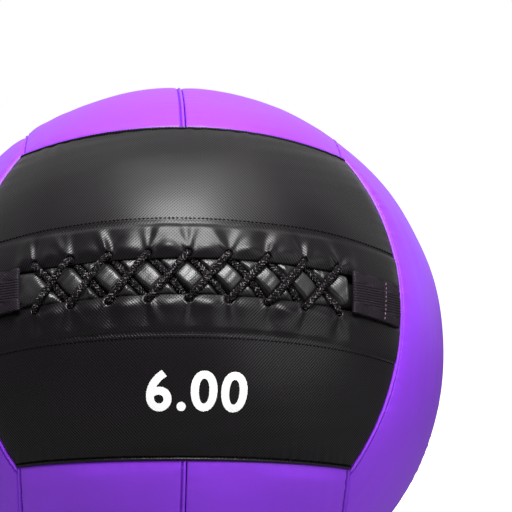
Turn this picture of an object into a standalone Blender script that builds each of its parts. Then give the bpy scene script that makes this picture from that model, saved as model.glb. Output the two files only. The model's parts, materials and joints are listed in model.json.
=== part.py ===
"""Laced wall ball: a soft leather-look ball of twelve panels, with a laced opening in its front face.

The ball frame has its origin at the ball's centre: X runs along the lacing, -Y looks out of the laced
face, and Z points up across it. A parent empty rolls that frame back and stands it on the floor plane.
Metres throughout.
"""

from math import cos, hypot, pi, radians, sin, sqrt, tan

import bmesh
import bpy
from mathutils import Matrix, Vector

# Ball
BALL_RADIUS = 0.175
REST_FLATTENING = 0.005
ROLL_BACK = radians(21.7)
FIT_GAP = 0.0003

# Shell panels and the seams between them
SEAM_BULGE = radians(6.4)
SKIN_THICKNESS = 0.0016
SEAM_GAP = 0.0005
SEAM_SINK = 0.002
SEAM_SINK_WIDTH = 0.022
ALLOWANCE_LENGTH = 0.0092
PANEL_CELLS = 6
FRONT_CELLS = 9
FRONT_ROWS = 4

# Padding between the seam allowances
PADDING_THICKNESS = 0.0086
PADDING_EASE = 0.0006
PADDING_ROWS = 3

# Laced opening
OPENING_WIDTH = 0.0232
OPENING_DROP = 0.0025
HEM_WIDTH = 0.0229
HOLE_COUNT = 9
HOLE_PITCH = 0.0247
HOLE_INSET = 0.0042
HOLE_CLEARANCE = 0.00035
HOLE_SIDES = 12
CUTTER_OVERRUN = 0.004

# Lace
LACE_DIAMETER = 0.005
LACE_BEND = 0.003
LACE_CROSSING_GAP = 0.0007
LACE_END_REACH = 0.0185
LACE_KNOT_DROP = 0.0018
LACE_KNOT_LENGTH = 0.0045
LACE_KNOT_SHARE = 1.7
LACE_BAR_REACH = 0.0165
LACE_BAR_INSET = 0.0065
STRAND_SHARES = (0.2, 0.35, 0.5, 0.65, 0.8)
CROSSING_RISE_SHARES = (0.05, 0.6, 1.0, 0.6, 0.05)
TOP_STRAND_SHARES = (0.5,)

# Tongue behind the lace
TONGUE_LENGTH = 0.2138
TONGUE_UNDERLAP = 0.0084
TONGUE_WING_START = 0.0116
TONGUE_WING_STEP = 0.0028
TONGUE_THICKNESS = 0.0016
TONGUE_EASE = 0.0004
TONGUE_CROWN = 0.0026
TONGUE_CELLS = 12
TONGUE_CROWN_SHARES = (0.0, 0.5, 1.0, 0.5, 0.0)

# Webbing tabs
TAB_WIDTH = 0.026
TAB_THICKNESS = 0.003
TAB_BASE_LENGTH = 0.0222
TAB_FLAP_LENGTH = 0.0244
TAB_SEAM_MARGIN = 0.0012
TAB_LIFT = 0.0012
TAB_CELLS = 4

# Topstitch thread
THREAD_DIAMETER = 0.0009
THREAD_POINTS = 21
THREAD_END_MARGIN = 0.004

# Liner bag and filling
LINER_THICKNESS = 0.001
LINER_GORES = 4
LINER_POLE_HOLE = radians(3.0)
GORE_ARCS = 8
GORE_STEPS = 4
FILLING_EASE = 0.0004
FILLING_PART_GAP = 0.0004
CORE_SHARE = 0.6

# Ballast bag
BALLAST_RADIUS = 0.05
BALLAST_WALL = 0.001
BALLAST_NECK_LENGTH = 0.012
BALLAST_RUFFLE_RADIUS = 0.02
BALLAST_RUFFLE_LENGTH = 0.012
BALLAST_POCKET_CLEARANCE = 0.002
BALLAST_STEP = radians(18)
BALLAST_QUARTER_STEPS = 5
BALLAST_SHOULDER_STEPS = 4
BALLAST_POCKET_STEPS = 3
GRIT_LEVEL_STEPS = 2
TIE_DIAMETER = 0.003
TIE_SIDES = 6
TURNED_STEPS = 16

SHARP_ANGLE = radians(40)

# Colours: red, green, blue, roughness
PURPLE = (0.27, 0.035, 0.80, 0.42)
BLACK = (0.016, 0.015, 0.017, 0.38)
LACE_BLACK = (0.010, 0.009, 0.011, 0.85)
WEBBING_BLACK = (0.014, 0.012, 0.015, 0.80)
FOAM_GREY = (0.55, 0.55, 0.53, 0.95)
CANVAS = (0.62, 0.56, 0.44, 0.95)
WADDING = (0.35, 0.36, 0.38, 1.0)
GRIT = (0.09, 0.08, 0.08, 0.70)

# Sizes that follow from the ones above
FLOOR_DISTANCE = BALL_RADIUS - REST_FLATTENING
HEM_THICKNESS = 2 * SKIN_THICKNESS
HALF_OPENING = OPENING_WIDTH / 2
HOLE_DIAMETER = LACE_DIAMETER + 2 * HOLE_CLEARANCE
HOLE_OFFSET = HALF_OPENING + HOLE_INSET
LACE_TOP = FIT_GAP + LACE_DIAMETER / 2
LACE_LOW = -HEM_THICKNESS - FIT_GAP - LACE_DIAMETER / 2
LACE_CROSSING = LACE_TOP - LACE_DIAMETER - LACE_CROSSING_GAP
TONGUE_DEPTH = TONGUE_EASE + LACE_DIAMETER / 2 - LACE_LOW
ALLOWANCE_DEPTH = SKIN_THICKNESS + ALLOWANCE_LENGTH
PADDING_DEPTH = SKIN_THICKNESS + FIT_GAP
SIDE_ANGLE = pi / 4 + SEAM_BULGE
LONG_ANGLE = pi / 4 - SEAM_BULGE
PANEL_HALF_LENGTH = BALL_RADIUS * SIDE_ANGLE
PANEL_WIDTH = BALL_RADIUS * LONG_ANGLE
PADDING_FACET = hypot(SIDE_ANGLE / PANEL_CELLS, LONG_ANGLE / PADDING_ROWS)
PADDING_RADIUS = (BALL_RADIUS - PADDING_DEPTH - PADDING_THICKNESS) * cos(PADDING_FACET / 2)
LINER_RADIUS = PADDING_RADIUS - FIT_GAP
FILLING_RADIUS = LINER_RADIUS - LINER_THICKNESS - FILLING_EASE
TAB_FOLD = PANEL_HALF_LENGTH - TAB_SEAM_MARGIN - TAB_BASE_LENGTH
BALLAST_NECK_HEIGHT = BALLAST_RADIUS * sin(BALLAST_SHOULDER_STEPS * BALLAST_STEP)
MERGE_DISTANCE = FIT_GAP / 10

DOWN = Vector((0, sin(ROLL_BACK), -cos(ROLL_BACK)))
AXIS_CYCLE = Matrix(((0, 0, 1), (1, 0, 0), (0, 1, 0)))
HALF_TURN_SIGNS = ((1, 1, 1), (-1, 1, -1), (1, -1, -1), (-1, -1, 1))
FACE_NAMES = {
    (0, -1, 0): "front",
    (0, 1, 0): "back",
    (0, 0, 1): "top",
    (0, 0, -1): "bottom",
    (1, 0, 0): "right",
    (-1, 0, 0): "left",
}
HALF_NAMES = {**FACE_NAMES, (0, 0, 1): "upper", (0, 0, -1): "lower"}


def clear_scene():
    """Start from an empty scene."""
    for item in list(bpy.data.objects):
        bpy.data.objects.remove(item, do_unlink=True)


def make_material(name, colour):
    """A plain Principled material of one colour and roughness."""
    found = bpy.data.materials.get(name)
    if found:
        return found
    material = bpy.data.materials.new(name)
    material.use_nodes = True
    shader = material.node_tree.nodes["Principled BSDF"]
    shader.inputs["Base Color"].default_value = (*colour[:3], 1)
    shader.inputs["Roughness"].default_value = colour[3]
    shader.inputs["Metallic"].default_value = 0
    return material


def place(item, parent, colour):
    """Put an object in the scene, in the ball's frame, with its own material."""
    bpy.context.scene.collection.objects.link(item)
    item.parent = parent
    item.data.materials.append(make_material(item.name + "_finish", colour))
    return item


def finish_mesh(bm, name, parent, colour):
    """Turn a closed bmesh into a smooth shaded object."""
    bm.normal_update()
    bmesh.ops.recalc_face_normals(bm, faces=bm.faces)
    mesh = bpy.data.meshes.new(name)
    bm.to_mesh(mesh)
    bm.free()
    mesh.shade_smooth()
    mesh.set_sharp_from_angle(angle=SHARP_ANGLE)
    return place(bpy.data.objects.new(name, mesh), parent, colour)


def around(longitude, latitude):
    """Unit direction in the ball frame; the laced face's middle is at zero, zero."""
    return Vector(
        (cos(latitude) * sin(longitude), -cos(latitude) * cos(longitude), sin(latitude))
    )


def settle(point, depth):
    """Press a point that lies this deep under the skin up to the flat that the ball rests on."""
    excess = point.dot(DOWN) - (FLOOR_DISTANCE - depth)
    return point - DOWN * excess if excess > 0 else point


def smooth_step(share):
    """Ease from 0 to 1 with level ends."""
    share = min(max(share, 0.0), 1.0)
    return share * share * (3 - 2 * share)


def long_seam(share):
    """Direction on the seam along the panel's long outer edge, for share -1 to 1."""
    angle = pi / 4 - SEAM_BULGE * (1 - share**2)
    return Vector((share, -sqrt(2) * cos(angle), sqrt(2) * sin(angle))).normalized()


def side_seam(share, hand):
    """Direction on the seam at the panel's end; hand is 1 on the right and -1 on the left."""
    angle = pi / 4 + SEAM_BULGE * (1 - share**2)
    return Vector(
        (hand * sqrt(2) * sin(angle), -sqrt(2) * cos(angle), share)
    ).normalized()


def panel_direction(u, v, middle_offset):
    """Point of the half face between its middle line (v 0) and its long seam (v 1), u from -1 to 1."""
    latitude = middle_offset / BALL_RADIUS
    start = sqrt(2) * tan(latitude)
    end_angle = pi / 4 + SEAM_BULGE * (1 - start**2)
    along = start + (1 - start) * v
    right = (u + 1) / 2
    middle = around(u * end_angle, latitude)
    middle_ends = (around(-end_angle, latitude), around(end_angle, latitude))
    blend = (
        (1 - v) * middle
        + v * long_seam(u)
        + (1 - right) * side_seam(along, -1)
        + right * side_seam(along, 1)
        - (1 - v) * ((1 - right) * middle_ends[0] + right * middle_ends[1])
        - v * ((1 - right) * long_seam(-1) + right * long_seam(1))
    )
    return blend.normalized()


def seam_sink(distance):
    """How far the skin is drawn in, this far from a seam."""
    return SEAM_SINK * max(0.0, 1 - distance / SEAM_SINK_WIDTH)


def sheet_grid(columns, rows, vertex_at):
    """A grid of faces; vertex_at gives the direction, sink and depth for each pair of values."""
    bm = bmesh.new()
    bmesh.ops.create_grid(bm, x_segments=len(columns) - 1, y_segments=len(rows) - 1, size=1)
    sink = bm.verts.layers.float.new("sink")
    depth = bm.verts.layers.float.new("depth")
    cell = bm.faces.layers.int.new("cell")
    for face in bm.faces:
        middle = face.calc_center_median()
        column = int((middle.x + 1) / 2 * (len(columns) - 1))
        row = int((middle.y + 1) / 2 * (len(rows) - 1))
        face[cell] = row * len(columns) + column
    for vertex in bm.verts:
        column = round((vertex.co.x + 1) / 2 * (len(columns) - 1))
        row = round((vertex.co.y + 1) / 2 * (len(rows) - 1))
        direction, vertex[sink], vertex[depth] = vertex_at(columns[column], rows[row])
        vertex.co = direction
    return bm


def extruded(bm, faces, replace):
    """Extrude faces and give back the new vertices and faces; replace drops the old ones."""
    result = bmesh.ops.extrude_face_region(bm, geom=faces)["geom"]
    if replace:
        bmesh.ops.delete(bm, geom=faces, context="FACES")
    vertices = [item for item in result if isinstance(item, bmesh.types.BMVert)]
    new_faces = [item for item in result if isinstance(item, bmesh.types.BMFace)]
    return vertices, new_faces


def cell_of(face, bm, columns):
    """Column and row of a face of a sheet grid."""
    number = face[bm.faces.layers.int["cell"]]
    return number % len(columns), number // len(columns)


def thicken(bm, inner_sink, inner_depth):
    """Close a sheet into a wall whose inner side lies at one depth, and give back the inner faces."""
    vertices, faces = extruded(bm, bm.faces[:], replace=False)
    sink = bm.verts.layers.float["sink"]
    depth = bm.verts.layers.float["depth"]
    for vertex in vertices:
        vertex[sink] *= inner_sink
        vertex[depth] = inner_depth(vertex[depth])
    return faces


def deepen(bm, faces, keep_sink, to_depth):
    """Extrude some inner faces on, down to a depth."""
    vertices, new_faces = extruded(bm, faces, replace=True)
    sink = bm.verts.layers.float["sink"]
    depth = bm.verts.layers.float["depth"]
    for vertex in vertices:
        vertex[sink] *= keep_sink
        vertex[depth] = to_depth
    return new_faces


def shape_sheet(bm, turn):
    """Move each vertex from its direction to its place in the ball, turned to the panel's own face."""
    sink = bm.verts.layers.float["sink"]
    depth = bm.verts.layers.float["depth"]
    for vertex in bm.verts:
        radius = BALL_RADIUS - vertex[sink] - vertex[depth]
        vertex.co = settle(turn @ (vertex.co.normalized() * radius), vertex[depth])


def even_shares(cells):
    """Inner lines of a strip cut into this many equal cells."""
    return [line / cells for line in range(1, cells)]


def mirrored(shares, rims):
    """Lines from -1 to 1: the rims and the shares on both sides, and the middle line."""
    outer = sorted(shares) + sorted(1 - rim for rim in rims)
    return [-line for line in reversed(outer)] + [0.0] + outer


def skin_vertex(middle_offset, has_middle_seam):
    """Vertex rule of a shell panel: drawn in towards its seams."""
    width = PANEL_WIDTH - middle_offset

    def vertex_at(u, v):
        distances = [(1 - abs(u)) * PANEL_HALF_LENGTH, (1 - v) * width]
        if has_middle_seam:
            distances.append(v * width)
        return panel_direction(u, v, middle_offset), seam_sink(min(distances)), 0.0

    return vertex_at


def make_panel(name, turn, parent, colour):
    """A closed shell panel: its skin, with a seam allowance turned in along each edge."""
    half_gap = SEAM_GAP / 2
    rims = (half_gap / PANEL_HALF_LENGTH, (half_gap + SKIN_THICKNESS) / PANEL_HALF_LENGTH)
    row_rims = [half_gap / PANEL_WIDTH, (half_gap + SKIN_THICKNESS) / PANEL_WIDTH]
    columns = mirrored(even_shares(PANEL_CELLS), rims)
    rows = row_rims + even_shares(PANEL_CELLS) + [1 - rim for rim in reversed(row_rims)]
    bm = sheet_grid(columns, rows, skin_vertex(0.0, True))
    inner = thicken(bm, 1, lambda depth: SKIN_THICKNESS)
    last = (len(columns) - 2, len(rows) - 2)
    rim_faces = [
        face
        for face in inner
        if cell_of(face, bm, columns)[0] in (0, last[0])
        or cell_of(face, bm, columns)[1] in (0, last[1])
    ]
    deepen(bm, rim_faces, 0, ALLOWANCE_DEPTH)
    shape_sheet(bm, turn)
    return finish_mesh(bm, name, parent, colour)


def front_offset(hand):
    """Distance of a hem's edge from the middle of the front face; hand is 1 above and -1 below."""
    return HALF_OPENING - hand * OPENING_DROP


def make_front_panel(name, hand, turn, parent):
    """A black panel with a folded hem along the opening, a row of lace holes and three allowances."""
    offset = front_offset(hand)
    width = PANEL_WIDTH - offset
    half_gap = SEAM_GAP / 2
    rims = (half_gap / PANEL_HALF_LENGTH, (half_gap + SKIN_THICKNESS) / PANEL_HALF_LENGTH)
    hem = HEM_WIDTH / width
    columns = mirrored(even_shares(FRONT_CELLS), rims)
    rest = [hem + (1 - hem) * share for share in even_shares(FRONT_ROWS)]
    rows = [0.0, hem / 2, hem] + rest
    rows += [1 - (half_gap + SKIN_THICKNESS) / width, 1 - half_gap / width]
    bm = sheet_grid(columns, rows, skin_vertex(offset, False))
    inner = thicken(bm, 1, lambda depth: SKIN_THICKNESS)
    cells = {face: cell_of(face, bm, columns) for face in inner}
    last = (len(columns) - 2, len(rows) - 2)
    rim = {face for face in inner if cells[face][0] in (0, last[0]) or cells[face][1] == last[1]}
    folded = {face for face in inner if cells[face][1] <= 1}
    doubled = deepen(bm, list(rim | folded), 1, HEM_THICKNESS)
    allowance = [
        face
        for face in doubled
        if cell_of(face, bm, columns)[0] in (0, last[0])
        or cell_of(face, bm, columns)[1] == last[1]
    ]
    deepen(bm, allowance, 0, ALLOWANCE_DEPTH)
    shape_sheet(bm, turn)
    panel = finish_mesh(bm, name, parent, BLACK)
    cut = panel.modifiers.new("lace_holes", "BOOLEAN")
    cut.operation = "DIFFERENCE"
    cut.solver = "EXACT"
    cut.object = make_hole_cutter(name + "_hole_cutter", hand, parent)
    return panel


def hole_places():
    """Distances of the lace holes along the opening, from its middle."""
    return [(index - (HOLE_COUNT - 1) / 2) * HOLE_PITCH for index in range(HOLE_COUNT)]


def lacing_point(along, across, height):
    """Point of the laced face: along the opening, across it from its middle line, and above the skin."""
    direction = around(along / BALL_RADIUS, (across - OPENING_DROP) / BALL_RADIUS)
    return direction * (BALL_RADIUS + height)


def make_hole_cutter(name, hand, parent):
    """Punches for one hem's row of lace holes."""
    bm = bmesh.new()
    top = CUTTER_OVERRUN
    bottom = -HEM_THICKNESS - CUTTER_OVERRUN
    for along in hole_places():
        start = lacing_point(along, hand * HOLE_OFFSET, top)
        end = lacing_point(along, hand * HOLE_OFFSET, bottom)
        turn = (start - end).to_track_quat("Z", "Y").to_matrix().to_4x4()
        bmesh.ops.create_cone(
            bm,
            cap_ends=True,
            segments=HOLE_SIDES,
            radius1=HOLE_DIAMETER / 2,
            radius2=HOLE_DIAMETER / 2,
            depth=top - bottom,
            matrix=Matrix.Translation((start + end) / 2) @ turn,
        )
    mesh = bpy.data.meshes.new(name)
    bm.to_mesh(mesh)
    bm.free()
    cutter = bpy.data.objects.new(name, mesh)
    bpy.context.scene.collection.objects.link(cutter)
    cutter.parent = parent
    cutter.hide_render = True
    cutter.display_type = "WIRE"
    return cutter


def make_padding(name, turn, parent):
    """A foam pad that fills a panel between its allowances."""
    inset = SEAM_GAP / 2 + SKIN_THICKNESS + FIT_GAP
    columns = mirrored(even_shares(PANEL_CELLS), (inset / PANEL_HALF_LENGTH,))
    row_inset = inset / PANEL_WIDTH
    rows = [row_inset] + even_shares(PADDING_ROWS) + [1 - row_inset]
    skin = skin_vertex(0.0, True)

    def vertex_at(u, v):
        direction, sink, _ = skin(u, v)
        return direction, sink, PADDING_DEPTH

    bm = sheet_grid(columns, rows, vertex_at)
    thicken(bm, 0, lambda depth: PADDING_DEPTH + PADDING_THICKNESS)
    shape_sheet(bm, turn)
    return finish_mesh(bm, name, parent, FOAM_GREY)


def make_front_padding(name, hand, turn, parent):
    """A front pad, stepped down where it runs under the hem and, below, under the tongue's wing."""
    offset = front_offset(hand)
    width = PANEL_WIDTH - offset
    inset = SEAM_GAP / 2 + SKIN_THICKNESS + FIT_GAP
    under_hem = HEM_THICKNESS + FIT_GAP + PADDING_EASE
    start = TONGUE_WING_START
    if hand < 0:
        under_hem += TONGUE_THICKNESS + FIT_GAP
        start += TONGUE_WING_STEP + FIT_GAP
    hem = HEM_WIDTH / width
    step = (HEM_WIDTH + PADDING_EASE) / width
    slope_end = step + SKIN_THICKNESS / width
    columns = mirrored(even_shares(FRONT_CELLS), (inset / PANEL_HALF_LENGTH,))
    rest = [hem + (1 - hem) * share for share in even_shares(FRONT_ROWS)]
    rows = [start / width, step, slope_end] + rest + [1 - inset / width]
    skin = skin_vertex(offset, False)

    def vertex_at(u, v):
        direction, sink, _ = skin(u, v)
        return direction, sink, under_hem if v <= step else PADDING_DEPTH

    bm = sheet_grid(columns, rows, vertex_at)
    thicken(bm, 0, lambda depth: PADDING_DEPTH + PADDING_THICKNESS)
    shape_sheet(bm, turn)
    return finish_mesh(bm, name, parent, FOAM_GREY)


def make_tongue(parent):
    """The tongue: crowned behind the lace, free above, and sewn under the lower hem by its wing."""
    columns = [TONGUE_LENGTH * (cell / TONGUE_CELLS - 1 / 2) for cell in range(TONGUE_CELLS + 1)]
    edge = HALF_OPENING + TONGUE_UNDERLAP
    inner = HALF_OPENING - LACE_DIAMETER / 2
    wing_start = -HALF_OPENING - TONGUE_WING_START
    wing_depth = HEM_THICKNESS + FIT_GAP
    crown = TONGUE_CROWN_SHARES
    profile = {
        -HALF_OPENING - HEM_WIDTH + FIT_GAP: wing_depth,
        wing_start - TONGUE_WING_STEP: wing_depth,
        -edge: TONGUE_DEPTH,
        -inner: TONGUE_DEPTH - TONGUE_CROWN * crown[0],
        -inner / 2: TONGUE_DEPTH - TONGUE_CROWN * crown[1],
        0.0: TONGUE_DEPTH - TONGUE_CROWN * crown[2],
        inner / 2: TONGUE_DEPTH - TONGUE_CROWN * crown[3],
        inner: TONGUE_DEPTH - TONGUE_CROWN * crown[4],
        edge: TONGUE_DEPTH,
    }

    def vertex_at(along, across):
        return lacing_point(along, across, 0.0).normalized(), 0.0, profile[across]

    bm = sheet_grid(columns, sorted(profile), vertex_at)
    thicken(bm, 1, lambda depth: depth + TONGUE_THICKNESS)
    shape_sheet(bm, Matrix.Identity(3))
    return finish_mesh(bm, "lacing_tongue", parent, BLACK)


def make_tube(name, points, diameter, resolution, parent, colour, swell=None):
    """A round cord along a list of points, closed at both ends; swell gives thicker points."""
    curve = bpy.data.curves.new(name, "CURVE")
    curve.dimensions = "3D"
    curve.bevel_depth = diameter / 2
    curve.bevel_resolution = resolution
    curve.use_fill_caps = True
    spline = curve.splines.new("POLY")
    spline.points.add(len(points) - 1)
    for index, point in enumerate(points):
        spline.points[index].co = (*point, 1)
        spline.points[index].radius = swell.get(index, 1) if swell else 1
    spline.use_smooth = True
    return place(bpy.data.objects.new(name, curve), parent, colour)


def through_hole(hole, before, after, rises):
    """Cord points through a lace hole, as along, across and height, from one strand to the next."""
    hole = Vector(hole)
    before = Vector(before).normalized()
    after = Vector(after).normalized()
    top_way = after if rises else -before
    low_way = -before if rises else after
    slant = LACE_BEND * (1 - sin(pi / 4))

    def bend(way, level, inwards):
        far = hole + way * LACE_BEND
        near = hole + way * slant
        return [
            (*far, level),
            (*near, level + inwards * slant),
            (*hole, level + inwards * LACE_BEND),
        ]

    top = bend(top_way, LACE_TOP, -1)
    low = bend(low_way, LACE_LOW, 1)
    return low + top[::-1] if rises else top + low[::-1]


def strand_between(start, end, start_is_top, end_is_top):
    """Cord points of one strand across the opening; strands that end low pass under at the crossing."""
    start = Vector(start)
    end = Vector(end)
    if start_is_top and end_is_top:
        return [(*start.lerp(end, share), LACE_TOP) for share in TOP_STRAND_SHARES]
    levels = (LACE_TOP if start_is_top else LACE_LOW, LACE_TOP if end_is_top else LACE_LOW)
    points = []
    for share, rise in zip(STRAND_SHARES, CROSSING_RISE_SHARES):
        level = levels[0] if share < 1 / 2 else levels[1]
        points.append((*start.lerp(end, share), level + (LACE_CROSSING - level) * rise))
    return points


def lace_route():
    """The lace from end to end: to the left in one zigzag, round under the left tab, and back."""
    places = hole_places()
    stops = []
    for count, along in enumerate(reversed(places)):
        side = -1 if count % 2 == 0 else 1
        stops.append((along, side * HOLE_OFFSET))
    turned = [(along, -across) for along, across in reversed(stops)]
    rises = [stop[1] > 0 or index == 0 for index, stop in enumerate(stops)]
    rises_back = [stop[1] < 0 or index == 0 for index, stop in enumerate(turned)]
    right = Vector((1, 0))
    route = []
    for visits, rising, is_back in ((stops, rises, False), (turned, rises_back, True)):
        for index, stop in enumerate(visits):
            here = Vector(stop)
            first = index == 0
            last = index == len(visits) - 1
            sideways = right if is_back else -right
            before = sideways if first else here - Vector(visits[index - 1])
            after = sideways if last else Vector(visits[index + 1]) - here
            route += through_hole(here, before, after, rising[index])
            if not last:
                route += strand_between(
                    here, visits[index + 1], rising[index], not rising[index + 1]
                )
        if not is_back:
            route += bar_points(stops[-1][0])
    return end_points(stops[0], True) + route + end_points(turned[-1], False)


def bar_points(along):
    """The lace's turn from the lower hem to the upper one, beyond the tongue's end."""
    reach = along - LACE_BAR_REACH
    inset = HALF_OPENING - LACE_BAR_INSET
    shoulder = reach + LACE_BEND
    return [
        (shoulder, -HOLE_OFFSET, LACE_LOW),
        (reach, -HOLE_OFFSET + LACE_BEND, LACE_LOW),
        (reach - LACE_BEND / 2, -inset, LACE_LOW),
        (reach - LACE_BEND / 2, inset, LACE_LOW),
        (reach, HOLE_OFFSET - LACE_BEND, LACE_LOW),
        (shoulder, HOLE_OFFSET, LACE_LOW),
    ]


def end_points(stop, at_start):
    """A lace end that runs on under the hem and stops in a knot."""
    along, across = stop
    level = LACE_LOW - LACE_KNOT_DROP
    points = [
        (along + LACE_END_REACH - 2 * LACE_KNOT_LENGTH, across, LACE_LOW),
        (along + LACE_END_REACH - LACE_KNOT_LENGTH, across, level),
        (along + LACE_END_REACH, across, level),
        (along + LACE_END_REACH + LACE_KNOT_LENGTH / 2, across, level),
    ]
    return points[::-1] if at_start else points


def least_self_gap(points, diameter):
    """Least clear distance between stretches of a cord that lie more than two bends apart."""
    steps = [0.0]
    for first, second in zip(points, points[1:]):
        steps.append(steps[-1] + (second - first).length)
    reach = pi * (LACE_BEND + diameter)
    least = BALL_RADIUS
    for index, point in enumerate(points):
        for other in range(index + 1, len(points)):
            if steps[other] - steps[index] > reach:
                least = min(least, (points[other] - point).length - diameter)
    return least


def make_lace(parent):
    """One braided lace through all the holes."""
    points = [lacing_point(*point) for point in lace_route()]
    gap = least_self_gap(points, LACE_DIAMETER)
    print(f"lace: {len(points)} points, least gap to itself {gap * 1000:.2f} mm")
    last = len(points) - 1
    swell = {1: LACE_KNOT_SHARE, 2: LACE_KNOT_SHARE}
    swell.update({last - 1: LACE_KNOT_SHARE, last - 2: LACE_KNOT_SHARE})
    return make_tube("lace", points, LACE_DIAMETER, 1, parent, LACE_BLACK, swell)


def tab_height(along):
    """Height of a tab's under side: it follows the skin into the seam, and its free end stands off."""
    sink = seam_sink(PANEL_HALF_LENGTH - along)
    lift = TAB_LIFT * smooth_step((TAB_FOLD - along) / TAB_FLAP_LENGTH)
    return FIT_GAP - sink + lift


def make_tab_part(name, hand, start, end, parent, hinge):
    """A stretch of folded webbing between two places along the opening; hinge is its origin."""
    columns = [start + (end - start) * cell / TAB_CELLS for cell in range(TAB_CELLS + 1)]
    rows = [-TAB_WIDTH / 2, 0.0, TAB_WIDTH / 2]

    def vertex_at(along, across):
        direction = lacing_point(hand * along, across, 0.0).normalized()
        return direction, 0.0, -tab_height(along) - TAB_THICKNESS

    bm = sheet_grid(columns, rows, vertex_at)
    thicken(bm, 1, lambda depth: depth + TAB_THICKNESS)
    shape_sheet(bm, Matrix.Identity(3))
    bmesh.ops.translate(bm, vec=-hinge, verts=bm.verts)
    tab = finish_mesh(bm, name, parent, WEBBING_BLACK)
    tab.location = hinge
    return tab


def make_tab(side, hand, parent):
    """A webbing tab: its sewn base and the free flap that lifts at the stitch line."""
    height = tab_height(TAB_FOLD) + TAB_THICKNESS
    hinge = lacing_point(hand * TAB_FOLD, 0.0, height)
    base_start = TAB_FOLD + FIT_GAP / 2
    flap_end = TAB_FOLD - FIT_GAP / 2
    base_end = PANEL_HALF_LENGTH - TAB_SEAM_MARGIN
    make_tab_part(side + "_tab_base", hand, base_start, base_end, parent, hinge)
    flap_start = TAB_FOLD - TAB_FLAP_LENGTH
    make_tab_part(side + "_tab_flap", hand, flap_start, flap_end, parent, hinge)
    print(f"{side} tab hinge in the ball frame: {tuple(round(value, 5) for value in hinge)}")
    world = parent.matrix_basis @ hinge
    axis = parent.matrix_basis.to_3x3() @ Vector((0, 0, 1))
    print(f"  world {tuple(round(value, 6) for value in world)}, axis {tuple(axis)}")


def make_topstitch(name, hand, turn, parent):
    """The thread that holds a hem's fold, as one run along its inner edge."""
    offset = front_offset(hand)
    width = PANEL_WIDTH - offset
    reach = 1 - THREAD_END_MARGIN / PANEL_HALF_LENGTH
    height = FIT_GAP + THREAD_DIAMETER / 2
    points = []
    for index in range(THREAD_POINTS):
        u = reach * (2 * index / (THREAD_POINTS - 1) - 1)
        sink = seam_sink((1 - abs(u)) * PANEL_HALF_LENGTH)
        direction = turn @ panel_direction(u, HEM_WIDTH / width, offset)
        points.append(direction * (BALL_RADIUS - sink + height))
    return make_tube(name, points, THREAD_DIAMETER, 1, parent, LACE_BLACK)


def spun(profile, steps, start, end, closed):
    """Turn a profile of radius and height pairs about Z, between two angles, and give back the bmesh."""
    bm = bmesh.new()
    turn = Matrix.Rotation(start, 3, "Z")
    vertices = [bm.verts.new(turn @ Vector((radius, 0, height))) for radius, height in profile]
    pairs = list(zip(vertices, vertices[1:]))
    if closed:
        pairs.append((vertices[-1], vertices[0]))
    edges = [bm.edges.new(pair) for pair in pairs]
    bmesh.ops.spin(
        bm,
        geom=vertices + edges,
        cent=(0, 0, 0),
        axis=(0, 0, 1),
        angle=end - start,
        steps=steps,
        use_merge=end - start >= 2 * pi,
    )
    bmesh.ops.remove_doubles(bm, verts=bm.verts, dist=MERGE_DISTANCE)
    return bm


def turned(profile, closed):
    """Turn a profile of radius and height pairs all the way round Z."""
    return spun(profile, TURNED_STEPS, 0.0, 2 * pi, closed)


def arc(radius, start, end, parts):
    """Radius and height pairs along an arc, by angle above the equator."""
    angles = [start + (end - start) * part / parts for part in range(parts + 1)]
    return [(radius * cos(angle), radius * sin(angle)) for angle in angles]


def settle_outside(bm):
    """Press the outer wall of a turned body up to the flat, and leave the ball's core as it is."""
    for vertex in bm.verts:
        distance = vertex.co.length
        if distance > BALL_RADIUS * CORE_SHARE:
            vertex.co = settle(vertex.co, BALL_RADIUS - distance)


def make_liner(parent):
    """Four canvas gores, with a small hole at each pole."""
    reach = pi / 2 - LINER_POLE_HOLE
    outer = arc(LINER_RADIUS, -reach, reach, GORE_ARCS)
    inner = arc(LINER_RADIUS - LINER_THICKNESS, reach, -reach, GORE_ARCS)
    half_gap = FIT_GAP / 2 / LINER_RADIUS
    span = 2 * pi / LINER_GORES
    for index, name in enumerate(("right_front", "right_back", "left_back", "left_front")):
        start = index * span - pi / 2
        bm = spun(outer + inner, GORE_STEPS, start + half_gap, start + span - half_gap, closed=True)
        open_edges = [edge for edge in bm.edges if edge.is_boundary]
        bmesh.ops.holes_fill(bm, edges=open_edges, sides=0)
        settle_outside(bm)
        finish_mesh(bm, "liner_gore_" + name, parent, CANVAS)


def ballast_arc(radius, first, last):
    """Radius and height pairs round the ballast bag, between two of its even steps above the equator."""
    return arc(radius, first * BALLAST_STEP, last * BALLAST_STEP, abs(last - first))


def make_filling(parent):
    """Textile filling in two halves, round the ballast bag and its neck."""
    reach = pi / 2 - LINER_POLE_HOLE
    half_gap = FILLING_PART_GAP / 2
    hollow = BALLAST_RADIUS + FIT_GAP
    outside = [(FILLING_RADIUS, half_gap)]
    outside += arc(FILLING_RADIUS, 0.0, reach, GORE_ARCS // 2)[1:] + [(0.0, FILLING_RADIUS)]
    pocket = ballast_arc(hollow, BALLAST_POCKET_STEPS, 0)
    ceiling = BALLAST_NECK_HEIGHT + BALLAST_NECK_LENGTH + BALLAST_RUFFLE_LENGTH
    ceiling += BALLAST_POCKET_CLEARANCE
    upper_inside = [(0.0, ceiling), (pocket[0][0], ceiling)] + pocket
    lower_inside = ballast_arc(hollow, BALLAST_QUARTER_STEPS, 0)
    for name, inside, hand in (
        ("filling_upper", upper_inside, 1),
        ("filling_lower", lower_inside, -1),
    ):
        profile = outside + inside[:-1] + [(hollow, half_gap)]
        profile = [(radius, hand * height) for radius, height in profile]
        bm = turned(profile, closed=True)
        settle_outside(bm)
        finish_mesh(bm, name, parent, WADDING)


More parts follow.
